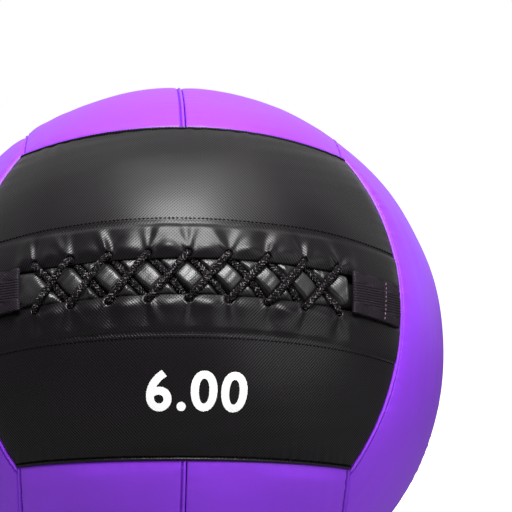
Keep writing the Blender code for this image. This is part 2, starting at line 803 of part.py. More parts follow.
def make_ballast(parent):
    """The ballast bag with its tied neck, the tie round it, and the grit inside."""
    wall = BALLAST_WALL
    body = ballast_arc(BALLAST_RADIUS, -BALLAST_QUARTER_STEPS, BALLAST_SHOULDER_STEPS)
    lining = ballast_arc(BALLAST_RADIUS - wall, -BALLAST_QUARTER_STEPS, BALLAST_SHOULDER_STEPS)
    neck = body[-1][0]
    neck_top = BALLAST_NECK_HEIGHT + BALLAST_NECK_LENGTH
    rim = neck_top + BALLAST_RUFFLE_LENGTH
    outside = body + [(neck, neck_top), (BALLAST_RUFFLE_RADIUS, rim)]
    inside = [(BALLAST_RUFFLE_RADIUS - wall, rim), (lining[-1][0], neck_top)] + lining[::-1]
    bm = turned(outside + inside, closed=False)
    finish_mesh(bm, "ballast_bag", parent, CANVAS)

    ring = neck + FIT_GAP + TIE_DIAMETER / 2
    height = BALLAST_NECK_HEIGHT + BALLAST_NECK_LENGTH / 2
    turns = [2 * pi * side / TIE_SIDES for side in range(TIE_SIDES)]
    section = [
        (ring + TIE_DIAMETER / 2 * cos(turn), height + TIE_DIAMETER / 2 * sin(turn))
        for turn in turns
    ]
    bm = turned(section, closed=True)
    finish_mesh(bm, "ballast_tie", parent, LACE_BLACK)

    heap = ballast_arc(
        BALLAST_RADIUS - wall - FIT_GAP, -BALLAST_QUARTER_STEPS, GRIT_LEVEL_STEPS
    )
    heap += [(0.0, heap[-1][1])]
    bm = turned(heap, closed=False)
    finish_mesh(bm, "ballast_grit", parent, GRIT)


def panel_turns():
    """Each shell panel's name and the turn that brings the front upper panel to its place."""
    for cycles in range(3):
        cycle = Matrix.Identity(3)
        for _ in range(cycles):
            cycle = AXIS_CYCLE @ cycle
        for signs in HALF_TURN_SIGNS:
            turn = cycle @ Matrix.Diagonal(Vector(signs))
            face = tuple(round(value) for value in turn @ Vector((0, -1, 0)))
            half = tuple(round(value) for value in turn @ Vector((0, 0, 1)))
            yield FACE_NAMES[face], HALF_NAMES[half], turn


def make_shell(parent):
    """All twelve panels and the padding behind each."""
    for face, half, turn in panel_turns():
        name = f"{face}_{half}"
        if face == "front":
            hand = 1 if half == "upper" else -1
            make_front_panel(name + "_panel", hand, turn, parent)
            make_front_padding(name + "_padding", hand, turn, parent)
            make_topstitch(half + "_hem_thread", hand, turn, parent)
        else:
            make_panel(name + "_panel", turn, parent, BLACK if face == "back" else PURPLE)
            make_padding(name + "_padding", turn, parent)


def main():
    clear_scene()
    ball = bpy.data.objects.new("ball_frame", None)
    bpy.context.scene.collection.objects.link(ball)
    ball.location = (0, 0, FLOOR_DISTANCE)
    ball.rotation_euler = (-ROLL_BACK, 0, 0)
    bpy.context.view_layer.update()
    make_shell(ball)
    make_tongue(ball)
    make_lace(ball)
    make_tab("right", 1, ball)
    make_tab("left", -1, ball)
    make_liner(ball)
    make_filling(ball)
    make_ballast(ball)


main()
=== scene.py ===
"""Looks of a soft wall ball: sewn two-tone shell, laced opening, webbing tabs and what is inside.

The ball frame has its origin at the ball's centre: X runs along the lacing, -Y looks out of the laced
face, and Z points up across it. Finished pieces are turned from it into the row frame. Metres throughout.
"""

import json
from collections import namedtuple
from math import atan2, cos, pi, radians, sin, sqrt, tan

import bmesh
import bpy
import numpy as np
from bpy.props import FloatProperty, FloatVectorProperty, IntProperty, PointerProperty, StringProperty
from bpy.types import Operator, Panel, PropertyGroup
from mathutils import Matrix, Vector
from mathutils.kdtree import KDTree


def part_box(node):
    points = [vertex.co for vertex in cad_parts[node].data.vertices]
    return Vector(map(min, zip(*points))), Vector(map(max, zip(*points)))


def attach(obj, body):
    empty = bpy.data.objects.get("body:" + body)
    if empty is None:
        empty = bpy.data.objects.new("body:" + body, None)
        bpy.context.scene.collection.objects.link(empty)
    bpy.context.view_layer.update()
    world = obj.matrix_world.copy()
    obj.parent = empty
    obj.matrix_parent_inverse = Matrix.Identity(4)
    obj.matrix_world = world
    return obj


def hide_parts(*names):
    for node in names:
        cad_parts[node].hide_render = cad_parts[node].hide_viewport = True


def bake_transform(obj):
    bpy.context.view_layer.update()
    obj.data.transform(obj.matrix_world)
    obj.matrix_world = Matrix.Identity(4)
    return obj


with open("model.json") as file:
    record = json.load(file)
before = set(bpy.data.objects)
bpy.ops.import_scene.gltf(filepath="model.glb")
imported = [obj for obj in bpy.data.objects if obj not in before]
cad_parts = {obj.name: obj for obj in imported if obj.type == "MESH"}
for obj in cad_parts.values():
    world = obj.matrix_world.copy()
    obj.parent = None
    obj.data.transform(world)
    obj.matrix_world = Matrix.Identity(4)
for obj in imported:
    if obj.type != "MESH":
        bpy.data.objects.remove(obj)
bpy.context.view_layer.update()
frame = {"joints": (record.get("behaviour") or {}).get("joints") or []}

bl_info = {
    "name": "Wall Ball",
    "version": (1, 0, 0),
    "blender": (4, 5, 0),
    "location": "View3D > Sidebar > Wall Ball",
    "description": "Builds a soft laced wall ball round its packed frame",
    "category": "Object",
}

RIGHT_HINGE = next(joint for joint in frame["joints"] if joint["name"] == "right_flap_lift")
LEFT_HINGE = next(joint for joint in frame["joints"] if joint["name"] == "left_flap_lift")
ROLL_BACK = atan2(RIGHT_HINGE["axis"][1], RIGHT_HINGE["axis"][2])

AXIS_CYCLE = np.array(((0, 0, 1), (1, 0, 0), (0, 1, 0)), float)
HALF_TURN_SIGNS = ((1, 1, 1), (-1, 1, -1), (1, -1, -1), (-1, -1, 1))
FACE_NAMES = {
    (0, -1, 0): "front",
    (0, 1, 0): "back",
    (0, 0, 1): "top",
    (0, 0, -1): "bottom",
    (1, 0, 0): "right",
    (-1, 0, 0): "left",
}
HALF_NAMES = {**FACE_NAMES, (0, 0, 1): "upper", (0, 0, -1): "lower"}
STITCHED_MIDDLES = ("top_left", "bottom_left", "left_front", "right_front", "back_upper")

PanelShape = namedtuple("PanelShape", "name face half turn reach long_bulge side_bulge seed")
HemRow = namedtuple("HemRow", "inset height cell top")
Pucker = namedtuple("Pucker", "share wavelength fade")

# Puckers beside a long seam, a side seam and a middle seam
PUCKERS = (Pucker(1.0, 0.008, 0.007), Pucker(0.7, 0.010, 0.008), Pucker(0.8, 0.009, 0.007))
# Distance within which vertices are merged
MERGE = 1e-6
# Cells from a lace hole's middle to its rim, and to where they are square again
HOLE_CELLS = 3
BLEND_CELLS = 7
# Cell number of the rows that don't pass a lace hole
NO_CELL = 99
# Mesh lines over the stitching beside a seam, and how fast their spacing grows beyond it
FINE_LINES = 11
LINE_GROWTH = 1.25
# Spacing of the ridges in the coated fabric
EMBOSS_PITCH = 0.0015
# Spacing of points on the lace, on the lace as the tongue meets it, and on the tongue
LACE_STEP = 0.0010
MEETING_STEP = 0.0012
TONGUE_STEP = 0.0008
# A braid's strand as shares of its diameter: distance covered by its wave, thickness, width, and the core
BRAID_WAVE = 0.075
STRAND_THICKNESS = 0.21
STRAND_WIDTH = 0.33
BRAID_CORE = 0.6
# Rounded edge of a foam pad
PAD_EDGE = 0.004
# How far the liner's gores and the ballast bag reach above the equator
LINER_REACH = radians(87)
SHOULDER = radians(72)
# Height and place of the printed number
MARK_HEIGHT = 0.0252
MARK_LONGITUDE = radians(1.9)
MARK_LATITUDE = radians(-23.9)
# Spot that the lights look at
LIGHT_AIM = Vector((0, 0, 0.17))


def length(name, description, default):
    """A length that a user may change."""
    return FloatProperty(name=name, description=description, default=default, precision=5, unit="LENGTH")


def turn_angle(name, description, default):
    """An angle that a user may change."""
    return FloatProperty(name=name, description=description, default=default, unit="ROTATION")


def share(name, description, default):
    """A plain number that a user may change."""
    return FloatProperty(name=name, description=description, default=default, precision=3)


def count(name, description, default):
    """A whole number that a user may change."""
    return IntProperty(name=name, description=description, default=default, min=1)


def colour(name, description, default):
    """A colour that a user may change."""
    return FloatVectorProperty(
        name=name, description=description, default=default, subtype="COLOR", min=0.0, max=1.0
    )


class WallBallShell(PropertyGroup):
    """Sizes of the sewn shell."""

    ball_radius: length("Ball radius", "Radius of the shell between its seams", 0.175)
    rest_flattening: length("Rest flattening", "How far the ball settles on the floor", 0.005)
    rest_softness: length("Rest softness", "How gently the skin turns into the flat", 0.0015)
    front_reach: FloatVectorProperty(
        name="Corner reach",
        description="Corner of the front face along, out of and across the lacing, as shares",
        default=(1.09, 1.0, 1.085),
    )
    front_bulge: turn_angle("Front seam bulge", "How far the front's long seams bow inwards", radians(8.73))
    top_bulge: turn_angle("Top seam bulge", "How far the top's long seams bow inwards", radians(9.6))
    side_bulge: turn_angle("Side seam bulge", "How far the sides' long seams bow inwards", radians(3.93))
    skin_thickness: length("Skin thickness", "Thickness of the coated fabric", 0.0006)
    allowance_depth: length("Allowance depth", "How deep the seam allowances turn in", 0.0085)
    seam_gap: length("Seam gap", "Gap between two panels in a seam", 0.0005)
    draw_depth: length("Draw depth", "How far the seams draw the skin in", 0.0007)
    draw_width: length("Draw width", "How far from a seam the skin is drawn in", 0.013)
    fold_depth: length("Fold depth", "Depth of the rounded edge beside a seam", 0.0010)
    fold_width: length("Fold width", "Width of the rounded edge of a plain panel", 0.0021)
    stitch_inset: length("Stitch inset", "Distance of a topstitch row from its seam", 0.0027)
    stitch_pitch: length("Stitch pitch", "Distance between two stitches", 0.0026)
    stitch_length: length("Stitch length", "Length of one stitch", 0.0021)
    thread_diameter: length("Thread diameter", "Thickness of the sewing thread", 0.00092)
    groove_depth: length("Groove depth", "How far a topstitch row pulls the skin in", 0.0012)
    pucker_height: length("Pucker height", "Height of the small puckers along the seams", 0.00040)
    wrinkle_height: length("Wrinkle height", "Height of the broad soft wrinkles", 0.0006)
    mesh_step: length("Mesh step", "Widest spacing of the skin's mesh", 0.0022)


class WallBallLacing(PropertyGroup):
    """Sizes of the laced opening, the lace and the tongue."""

    opening_width: length("Opening width", "Width between the two hems", 0.0232)
    opening_drop: length("Opening drop", "How far the opening lies below the face's middle", 0.0025)
    hem_width: length("Hem width", "Distance of the topstitch from the hem's edge", 0.0229)
    hole_count: count("Hole count", "Lace holes in each hem", 9)
    hole_pitch: length("Hole pitch", "Distance between two lace holes", 0.0247)
    hole_inset: length("Hole inset", "Distance of the holes from the hem's edge", 0.0030)
    hole_diameter: length("Hole diameter", "Diameter of a lace hole", 0.0044)
    hem_thickness: length("Hem thickness", "Thickness of the folded hem", 0.0014)
    ridge_height: length("Ridge height", "Height of the pulled ridges between holes and topstitch", 0.0022)
    lace_diameter: length("Lace diameter", "Diameter of the braided lace", 0.0048)
    lace_bend: length("Lace bend", "Radius of the lace's turn through a hole", 0.003)
    lace_top: length("Lace top", "Height of the lace on a hem", 0.0020)
    lace_low: length("Lace low", "Height of the lace under a hem", -0.0038)
    lace_crossing: length("Lace crossing", "Height of the lower strand at a crossing", -0.0016)
    lace_flatness: share("Lace flatness", "Thickness of the pressed lace as a share of its width", 0.76)
    braid_lay: length("Braid lay", "Length of one turn of a braid strand", 0.0084)
    braid_strands: count("Braid strands", "Strands that wind each way", 4)
    tongue_left: length("Tongue left", "Reach of the tongue's fold to the left", 0.112)
    tongue_right: length("Tongue right", "Reach of the tongue's fold to the right", 0.1032)
    tongue_reach: length("Tongue reach", "Reach of the tongue's ends under the tabs", 0.153)
    tongue_underlap: length("Tongue underlap", "How far the tongue runs under the hems", 0.0084)
    pillow_height: length("Pillow height", "How far the tongue bulges up between the hems", 0.0038)


class WallBallTabs(PropertyGroup):
    """Sizes of the webbing tabs."""

    width: length("Tab width", "Width of the webbing", 0.026)
    webbing_thickness: length("Webbing thickness", "Thickness of one layer of webbing", 0.0013)
    tab_thickness: length("Tab thickness", "Thickness of the folded tab", 0.003)
    base_length: length("Base length", "Length of the tab that is sewn down", 0.0222)
    flap_length: length("Flap length", "Length of the free flap", 0.0262)
    seam_margin: length("Seam margin", "Distance of the tab's root from the side seam", 0.0008)
    lift: length("Flap lift", "How far the free end stands off the skin", 0.0012)
    rib_pitch: length("Rib pitch", "Distance between the webbing's ribs", 0.0016)


class WallBallInside(PropertyGroup):
    """Sizes of what is inside the shell."""

    pad_top: length("Pad top", "Depth of the foam pads' outer face", 0.0021)
    pad_bottom: length("Pad bottom", "Depth of the foam pads' inner face", 0.0103)
    pad_inset: length("Pad inset", "Distance of the foam pads from the seams", 0.0026)
    ballast_radius: length("Ballast radius", "Radius of the ballast bag", 0.05)
    tie_diameter: length("Tie diameter", "Diameter of the cord round the bag's neck", 0.003)


class WallBallColours(PropertyGroup):
    """Colours of the finishes."""

    purple: colour("Purple", "Purple shell panels", (0.262, 0.030, 0.80))
    black: colour("Black", "Black shell panels", (0.006, 0.0048, 0.006))
    lace: colour("Lace", "Braided lace", (0.004, 0.003, 0.004))
    fleck: colour("Fleck", "Paler fibres in the lace and the webbing", (0.28, 0.25, 0.27))
    webbing: colour("Webbing", "Webbing tabs", (0.010, 0.005, 0.011))
    thread: colour("Thread", "Thread on the black panels", (0.005, 0.004, 0.005))
    tab_thread: colour("Tab thread", "Paler thread on the tabs", (0.11, 0.08, 0.10))
    purple_thread: colour("Purple thread", "Thread on the purple panels", (0.14, 0.02, 0.46))
    foam: colour("Foam", "Foam pads", (0.55, 0.55, 0.53))
    canvas: colour("Canvas", "Liner and ballast bag", (0.62, 0.56, 0.44))
    wadding: colour("Wadding", "Textile filling", (0.35, 0.36, 0.38))
    grit: colour("Grit", "Iron grit", (0.09, 0.08, 0.08))
    ink: colour("Ink", "Printed weight", (0.86, 0.86, 0.86))
    floor: colour("Floor", "Studio floor", (0.9, 0.9, 0.9))


class WallBallStudio(PropertyGroup):
    """The camera and the lights."""

    azimuth: turn_angle("Azimuth", "Camera's turn round the ball", radians(-2.05))
    elevation: turn_angle("Elevation", "Camera's height over the horizon", radians(5.0))
    roll: turn_angle("Roll", "Camera's turn about its own axis", radians(0.65))
    distance: length("Distance", "Camera's distance from the ball's centre", 2.1)
    aim_right: length("Aim right", "How far right of the ball's centre the camera aims", 0.0514)
    aim_up: length("Aim up", "How far above the ball's centre the camera aims", 0.0647)
    lens: share("Lens", "Focal length in millimetres", 223.7)
    key_power: share("Key power", "Power of the soft light above the laced face, in watts", 46.0)
    fill_power: share("Fill power", "Power of the light at the right, in watts", 12.5)
    sky_power: share("Sky power", "Strength of the broad light from above", 0.6)
    ambient: share("Ambient", "Strength of the even light in front of the ball", 0.07)
    backdrop: share("Backdrop", "Strength of the white backdrop behind the ball", 0.75)


class WallBallSettings(PropertyGroup):
    """All sizes and colours of the wall ball."""

    shell: PointerProperty(type=WallBallShell)
    lacing: PointerProperty(type=WallBallLacing)
    tabs: PointerProperty(type=WallBallTabs)
    inside: PointerProperty(type=WallBallInside)
    colours: PointerProperty(type=WallBallColours)
    studio: PointerProperty(type=WallBallStudio)
    mark: StringProperty(name="Mark", description="Plain weight number on the front", default="6.00")


def settings():
    """The wall ball's settings in the open scene."""
    return bpy.context.scene.wall_ball


# Directions and seams of the shell


def unit(vectors):
    """Vectors scaled to length one."""
    return vectors / np.linalg.norm(vectors, axis=-1, keepdims=True)


def around(longitude, latitude):
    """Unit directions in the ball frame; the laced face's middle is at zero, zero."""
    longitude, latitude = np.broadcast_arrays(longitude, latitude)
    level = np.cos(latitude)
    return np.stack((level * np.sin(longitude), -level * np.cos(longitude), np.sin(latitude)), axis=-1)


def smooth_step(value):
    """Ease from 0 to 1 with level ends."""
    value = np.clip(value, 0.0, 1.0)
    return value * value * (3 - 2 * value)


def bell(distance, middle, width):
    """A bump of height one round its middle."""
    return np.exp(-(((distance - middle) / width) ** 2))


def waves(value, wavelength, seed):
    """Uneven waves about zero along one coordinate, the same on every run."""
    draw = np.random.default_rng(seed)
    total = np.zeros_like(value)
    for _ in range(5):
        stretch = draw.uniform(0.6, 1.7)
        phase = draw.uniform(0, 2 * pi)
        total += np.sin(2 * pi * value / (wavelength * stretch) + phase)
    return total / 3


def unevenness(points, wavelength, seed):
    """Soft uneven relief about zero over points in space, the same on every run."""
    draw = np.random.default_rng(seed)
    total = np.zeros(len(points))
    for _ in range(9):
        way = unit(draw.normal(size=3))
        stretch = draw.uniform(0.6, 1.6)
        phase = draw.uniform(0, 2 * pi)
        total += np.sin(2 * pi * (points @ way) / (wavelength * stretch) + phase)
    return total / 4


def panel_shapes():
    """Name, turn and outline of each of the twelve shell panels; the front upper one is unturned."""
    shell = settings().shell
    reach = np.array(shell.front_reach)
    bulges = (shell.front_bulge, shell.top_bulge, shell.side_bulge)
    shapes = []
    for cycles in range(3):
        cycle = np.linalg.matrix_power(AXIS_CYCLE, cycles)
        for signs in HALF_TURN_SIGNS:
            turn = cycle @ np.diag(signs)
            face = FACE_NAMES[tuple(int(value) for value in turn @ (0, -1, 0))]
            half = HALF_NAMES[tuple(int(value) for value in turn @ (0, 0, 1))]
            along = int(np.argmax(np.abs(turn[:, 0])))
            across = int(np.argmax(np.abs(turn[:, 2])))
            shapes.append(
                PanelShape(
                    name=f"{face}_{half}",
                    face=face,
                    half=half,
                    turn=turn,
                    reach=np.abs(turn.T @ reach),
                    long_bulge=bulges[along],
                    side_bulge=bulges[across],
                    seed=len(shapes) + 1,
                )
            )
    return shapes


def long_angle(shape, run):
    """Angle of the long seam above the face's middle, for run -1 to 1 along it."""
    return atan2(shape.reach[2], shape.reach[1]) - shape.long_bulge * (1 - run**2)


def side_angle(shape, run):
    """Angle of the side seam beside the face's middle, for run -1 to 1 along it."""
    return atan2(shape.reach[0], shape.reach[1]) + shape.side_bulge * (1 - run**2)


def long_seam(shape, run, inset=0.0):
    """Directions on the long seam, or this far inside it."""
    radius = np.hypot(shape.reach[1], shape.reach[2])
    level = radius / np.hypot(run * shape.reach[0], radius)
    angle = long_angle(shape, run) - inset / (settings().shell.ball_radius * level)
    return unit(np.stack((run * shape.reach[0], -radius * np.cos(angle), radius * np.sin(angle)), axis=-1))


def side_seam(shape, run, hand):
    """Directions on the seam at the panel's end; hand is 1 on the right and -1 on the left."""
    radius = np.hypot(shape.reach[0], shape.reach[1])
    angle = side_angle(shape, run)
    return unit(
        np.stack((hand * radius * np.sin(angle), -radius * np.cos(angle), run * shape.reach[2]), axis=-1)
    )


def panel_direction(shape, u, v, offset):
    """Points from the panel's lower line at this offset (v 0) to its long seam (v 1), u from -1 to 1."""
    latitude = offset / settings().shell.ball_radius
    start = tan(latitude) * np.hypot(shape.reach[0], shape.reach[1]) / shape.reach[2]
    end_angle = side_angle(shape, start)
    run = start + (1 - start) * v
    right = ((u + 1) / 2)[:, None]
    rise = v[:, None]
    blend = (
        (1 - rise) * around(u * end_angle, latitude)
        + rise * long_seam(shape, u)
        + (1 - right) * side_seam(shape, run, -1)
        + right * side_seam(shape, run, 1)
        - (1 - rise) * ((1 - right) * around(-end_angle, latitude) + right * around(end_angle, latitude))
        - rise * ((1 - right) * long_seam(shape, np.array(-1.0)) + right * long_seam(shape, np.array(1.0)))
    )
    return unit(blend)


def seam_distances(shape, directions):
    """Distance of each direction from the side seam, from the long seam and from the middle line."""
    radius = settings().shell.ball_radius
    x, y, z = directions.T
    level = np.hypot(x, y)
    run = z / level * np.hypot(shape.reach[0], shape.reach[1]) / shape.reach[2]
    side = radius * (side_angle(shape, run) - np.abs(np.arctan2(x, -y))) * level
    upright = np.hypot(y, z)
    run = x / upright * np.hypot(shape.reach[1], shape.reach[2]) / shape.reach[0]
    long = radius * (long_angle(shape, run) - np.arctan2(z, -y)) * upright
    return side, long, radius * np.arcsin(np.clip(z, -1, 1))


def pattern_place(directions, middle):
    """Flat coordinates of a cloth pattern laid on the ball about a middle direction, in metres."""
    right = unit(np.cross(middle, (0, 0, 1)))
    right = right if right[0] > 0 else -right
    up = np.cross(right, middle)
    up = up if up[2] > 0 else -up
    reach = np.arccos(np.clip(directions @ middle, -1, 1))
    across = directions @ right
    rise = directions @ up
    scale = settings().shell.ball_radius * reach / np.maximum(np.hypot(across, rise), 1e-6)
    return np.stack((across * scale, rise * scale), axis=-1)


def to_row(points):
    """Points of the ball frame in the row frame."""
    shell = settings().shell
    tilt = np.array(Matrix.Rotation(-ROLL_BACK, 3, "X"))
    return points @ tilt.T + (0, 0, shell.ball_radius - shell.rest_flattening)


def rest(points, depth):
    """Points of the row frame pressed to the floor, where they lie this deep under the skin."""
    softness = settings().shell.rest_softness
    depth = np.maximum(depth, 0)
    height = points[:, 2] - depth
    points = points.copy()
    points[:, 2] = depth + (height + np.sqrt(height**2 + softness**2)) / 2
    return points


def placed(directions, heights):
    """Row frame points at directions of the ball frame, this far above the bare ball, after settling."""
    radius = settings().shell.ball_radius
    points = to_row(directions * (radius + heights)[:, None])
    return rest(points, -heights)


def lacing_point(along, across, height):
    """Ball frame points of the laced face: along it, across it from its middle line, and above the skin."""
    ball = settings()
    radius = ball.shell.ball_radius
    directions = around(along / radius, (across - ball.lacing.opening_drop) / radius)
    return directions * np.asarray(radius + height)[..., None]


# Relief of the skin


def drawn_in(distance, fold_depth, fold_width):
    """Depth of the skin beside a seam: a broad sink and a rounded edge."""
    shell = settings().shell
    broad = shell.draw_depth * np.clip(1 - distance / shell.draw_width, 0, 1) ** 2
    inside = np.clip(1 - distance / fold_width, 0, 1)
    return broad + fold_depth * (1 - np.sqrt(1 - inside**2))


def stitched_relief(distance):
    """Height that a topstitched edge adds: its doubled fold, and the groove that the thread pulls."""
    shell = settings().shell
    fold = 0.45 * shell.groove_depth * bell(distance, 0.55 * shell.stitch_inset, 0.4 * shell.stitch_inset)
    groove = shell.groove_depth * bell(distance, shell.stitch_inset, 0.24 * shell.stitch_inset)
    return fold - groove


def seam_puckers(shape, seams):
    """Small uneven puckers that fade away from each seam; seams give places along and distances."""
    total = 0.0
    for number, ((along, distance), pucker) in enumerate(zip(seams, PUCKERS)):
        uneven = pucker.share * waves(along, pucker.wavelength, 10 * shape.seed + number)
        total = total + uneven * np.exp(-distance / pucker.fade)
    return settings().shell.pucker_height * total


def soft_wrinkles(shape, directions, along, long, edge):
    """Broad soft wrinkles: folds that follow the long seam, and unevenness all over."""
    shell = settings().shell
    folds = waves(long + 0.15 * along, 0.018, 10 * shape.seed + 3) * np.exp(-long / 0.030)
    folds *= 0.6 + 0.4 * waves(along, 0.09, 10 * shape.seed + 4)
    height = 0.6 * shell.wrinkle_height * folds * smooth_step(long / 0.012)
    points = directions @ shape.turn.T * shell.ball_radius
    return height + shell.wrinkle_height * unevenness(points, 0.075, 5) * smooth_step(edge / 0.01)


def skin_relief(shape, directions, has_middle):
    """Height of the skin over the bare ball, and the stitch coordinates along and away from its seams."""
    shell = settings().shell
    side, long, middle = seam_distances(shape, directions)
    edge = np.minimum(side, long)
    stitched = has_middle and shape.name in STITCHED_MIDDLES
    tight = 0.7 * shell.fold_width
    drops = [drawn_in(side, shell.fold_depth, shell.fold_width)]
    drops.append(drawn_in(long, 0.8 * shell.fold_depth, tight))
    if has_middle:
        drops.append(drawn_in(middle, shell.fold_depth, tight if stitched else shell.fold_width))
    height = -np.sum(np.array(drops) ** 3, axis=0) ** (1 / 3)
    height += stitched_relief(long)
    along_long = shell.ball_radius * np.arcsin(np.clip(directions[:, 0], -1, 1))
    along_side = shell.ball_radius * np.arcsin(np.clip(directions[:, 2], -1, 1))
    along_middle = shell.ball_radius * np.arctan2(directions[:, 0], -directions[:, 1])
    stitch = np.stack((along_long, long, edge), axis=-1)
    if stitched:
        height += stitched_relief(middle)
        nearer = middle < long
        stitch[nearer, 0] = along_middle[nearer]
        stitch[nearer, 1] = middle[nearer]
    seams = [(along_long, long), (along_side, side), (along_middle, middle)]
    puckers = seam_puckers(shape, seams if has_middle else seams[:2])
    height += puckers * smooth_step(edge / 0.004)
    return height + soft_wrinkles(shape, directions, along_long, long, edge), stitch


def hem_offset(shape):
    """Distance of a hem's edge from the face's middle line."""
    lacing = settings().lacing
    hand = 1 if shape.half == "upper" else -1
    return lacing.opening_width / 2 - hand * lacing.opening_drop


def hem_creases(shape, along, inset):
    """Creases that fan out from each lace hole, the same on every run."""
    lacing = settings().lacing
    draw = np.random.default_rng(70 + shape.seed)
    strength = 1.0 if shape.half == "upper" else 0.55
    hole_calm = 0.0032
    total = np.zeros_like(along)
    rise = inset - lacing.hole_inset
    for place in hole_places():
        for height in (1.0, 0.75, -0.6):
            lean = draw.uniform(-0.75, 0.75)
            reach = draw.uniform(0.011, 0.021)
            size = height * draw.uniform(0.7, 1.2) * strength
            away = np.hypot(along - place, rise)
            beside = (along - place - lean * rise) / sqrt(1 + lean**2)
            width = 0.0012 + 0.16 * away
            crease = bell(beside, 0.0, width) * bell(away, 0.0, reach)
            crease *= 1 - bell(away, 0.0, hole_calm)
            total += size * crease * smooth_step(rise / 0.003 + 0.5)
    return lacing.ridge_height * total


def hem_relief(shape, along, inset):
    """Height that the pulled hem adds: fans of creases, pillows between the holes, and the topstitch."""
    lacing = settings().lacing
    pillow_height = 0.0016
    edge_sink = 0.0006
    valley_depth = 0.0006
    doubling = 0.0006
    reach = (lacing.hole_count - 1) / 2 * lacing.hole_pitch
    window = 1 - smooth_step((np.abs(along) - reach - 0.005) / 0.012)
    turn = 2 * pi * along / lacing.hole_pitch
    strength = 1 + 0.35 * waves(along, 0.045, 170 + shape.seed)
    pillow = pillow_height * (0.55 - 0.45 * np.cos(turn)) * bell(inset, 0.0066, 0.0042) * strength
    pillow -= edge_sink * np.exp(-np.clip(inset, 0, None) / 0.003)
    valley = -valley_depth * np.cos(turn) * bell(inset, 0.014, 0.006) * strength
    doubled = doubling * (1 - smooth_step((inset - lacing.hem_width + 0.0006) / 0.0014))
    doubled *= smooth_step(inset / 0.004)
    groove = -settings().shell.groove_depth * bell(inset, lacing.hem_width, 0.00065)
    inside_hem = 1 - smooth_step((inset - lacing.hem_width + 0.003) / 0.003)
    return window * (pillow + valley) + hem_creases(shape, along, inset) * inside_hem + doubled + groove


def hole_relief(away):
    """Height of the skin by distance from a lace hole's middle: a lip that dips at the hole's edge."""
    lip = 0.0003
    rim = settings().lacing.hole_diameter / 2
    return lip * bell(away, rim + 0.0013, 0.0009) - lip * np.exp(-(away - rim) / 0.0005)


def hole_places():
    """Distances of the lace holes along the opening, from its middle."""
    lacing = settings().lacing
    return [(index - (lacing.hole_count - 1) / 2) * lacing.hole_pitch for index in range(lacing.hole_count)]


# Meshes


def sheet_mesh(columns, rows, keep=None):
    """A flat grid bmesh that knows each vertex's column and row, without the faces that keep() refuses."""
    bm = bmesh.new()
    bmesh.ops.create_grid(bm, x_segments=columns - 1, y_segments=rows - 1, size=1)
    column = bm.verts.layers.int.new("column")
    row = bm.verts.layers.int.new("row")
    for vertex in bm.verts:
        vertex[column] = round((vertex.co.x + 1) / 2 * (columns - 1))
        vertex[row] = round((vertex.co.y + 1) / 2 * (rows - 1))
    if keep:
        refused = []
        for face in bm.faces:
            middle = face.calc_center_median()
            place = (int((middle.x + 1) / 2 * (columns - 1)), int((middle.y + 1) / 2 * (rows - 1)))
            if not keep(*place):
                refused.append(face)
        bmesh.ops.delete(bm, geom=refused, context="FACES")
    return bm


def grid_places(bm):
    """Columns and rows of the vertices of a sheet mesh, as arrays."""
    column = bm.verts.layers.int["column"]
    row = bm.verts.layers.int["row"]
    pairs = np.array([(vertex[column], vertex[row]) for vertex in bm.verts])
    return pairs[:, 0], pairs[:, 1]


def move_vertices(bm, points):
    """Put each vertex at its point, and forget its column and row."""
    for vertex, point in zip(bm.verts, points):
        vertex.co = point
    for name in ("column", "row"):
        if name in bm.verts.layers.int:
            bm.verts.layers.int.remove(bm.verts.layers.int[name])


def write_layer(bm, name, values):
    """Keep a vector for each vertex under a name that materials read."""
    layer = bm.verts.layers.float_vector.new(name)
    for vertex, value in zip(bm.verts, values):
        vertex[layer] = value


def face_out(bm):
    """Turn a closed body's faces outwards."""
    bm.normal_update()
    bmesh.ops.recalc_face_normals(bm, faces=bm.faces)


def joined(bm, outward):
    """Merge touching vertices, and turn the faces so that most of them look along outward."""
    bmesh.ops.remove_doubles(bm, verts=bm.verts, dist=MERGE)
    face_out(bm)
    total = sum(outward(face.calc_center_median()).dot(face.normal) * face.calc_area() for face in bm.faces)
    if total < 0:
        bmesh.ops.reverse_faces(bm, faces=bm.faces)


def from_centre(point):
    """Direction from the ball's centre."""
    shell = settings().shell
    return (point - Vector((0, 0, shell.ball_radius - shell.rest_flattening))).normalized()


def finish_piece(bm, name, material, replaced=(), body="ball"):
    """Turn a bmesh in the row frame into a smooth piece that rides on a body."""
    mesh = bpy.data.meshes.new(name)
    bm.to_mesh(mesh)
    bm.free()
    mesh.shade_smooth()
    piece = bpy.data.objects.new(name, mesh)
    bpy.context.scene.collection.objects.link(piece)
    mesh.materials.append(material)
    if replaced:
        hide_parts(*replaced)
    if body:
        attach(piece, body)
    return piece


def give_wall(piece, thickness, offset=-1):
    """Give a sheet its thickness."""
    wall = piece.modifiers.new("wall", "SOLIDIFY")
    wall.thickness = thickness
    wall.offset = offset
    wall.use_quality_normals = True
    return piece


def lines_from_seam(reach, coarse):
    """Distances from a seam up to reach: close over the stitching, then growing to the coarse step."""
    fine_reach = 1.6 * settings().shell.stitch_inset
    distances = [settings().shell.seam_gap / 2]
    step = fine_reach / FINE_LINES
    while distances[-1] < reach:
        distances.append(distances[-1] + step)
        if distances[-1] > fine_reach:
            step = min(step * LINE_GROWTH, coarse)
    near = [distance for distance in distances if distance <= fine_reach]
    far = [distance for distance in distances if distance > fine_reach]
    stretch = (reach - fine_reach) / (far[-1] - fine_reach)
    return near + [fine_reach + (distance - fine_reach) * stretch for distance in far]


def allowance_lines():
    """Depths of the seam allowance's lines, the deepest first."""
    depth = settings().shell.allowance_depth
    return [depth * part for part in (1.0, 0.6, 0.3, 0.1)]


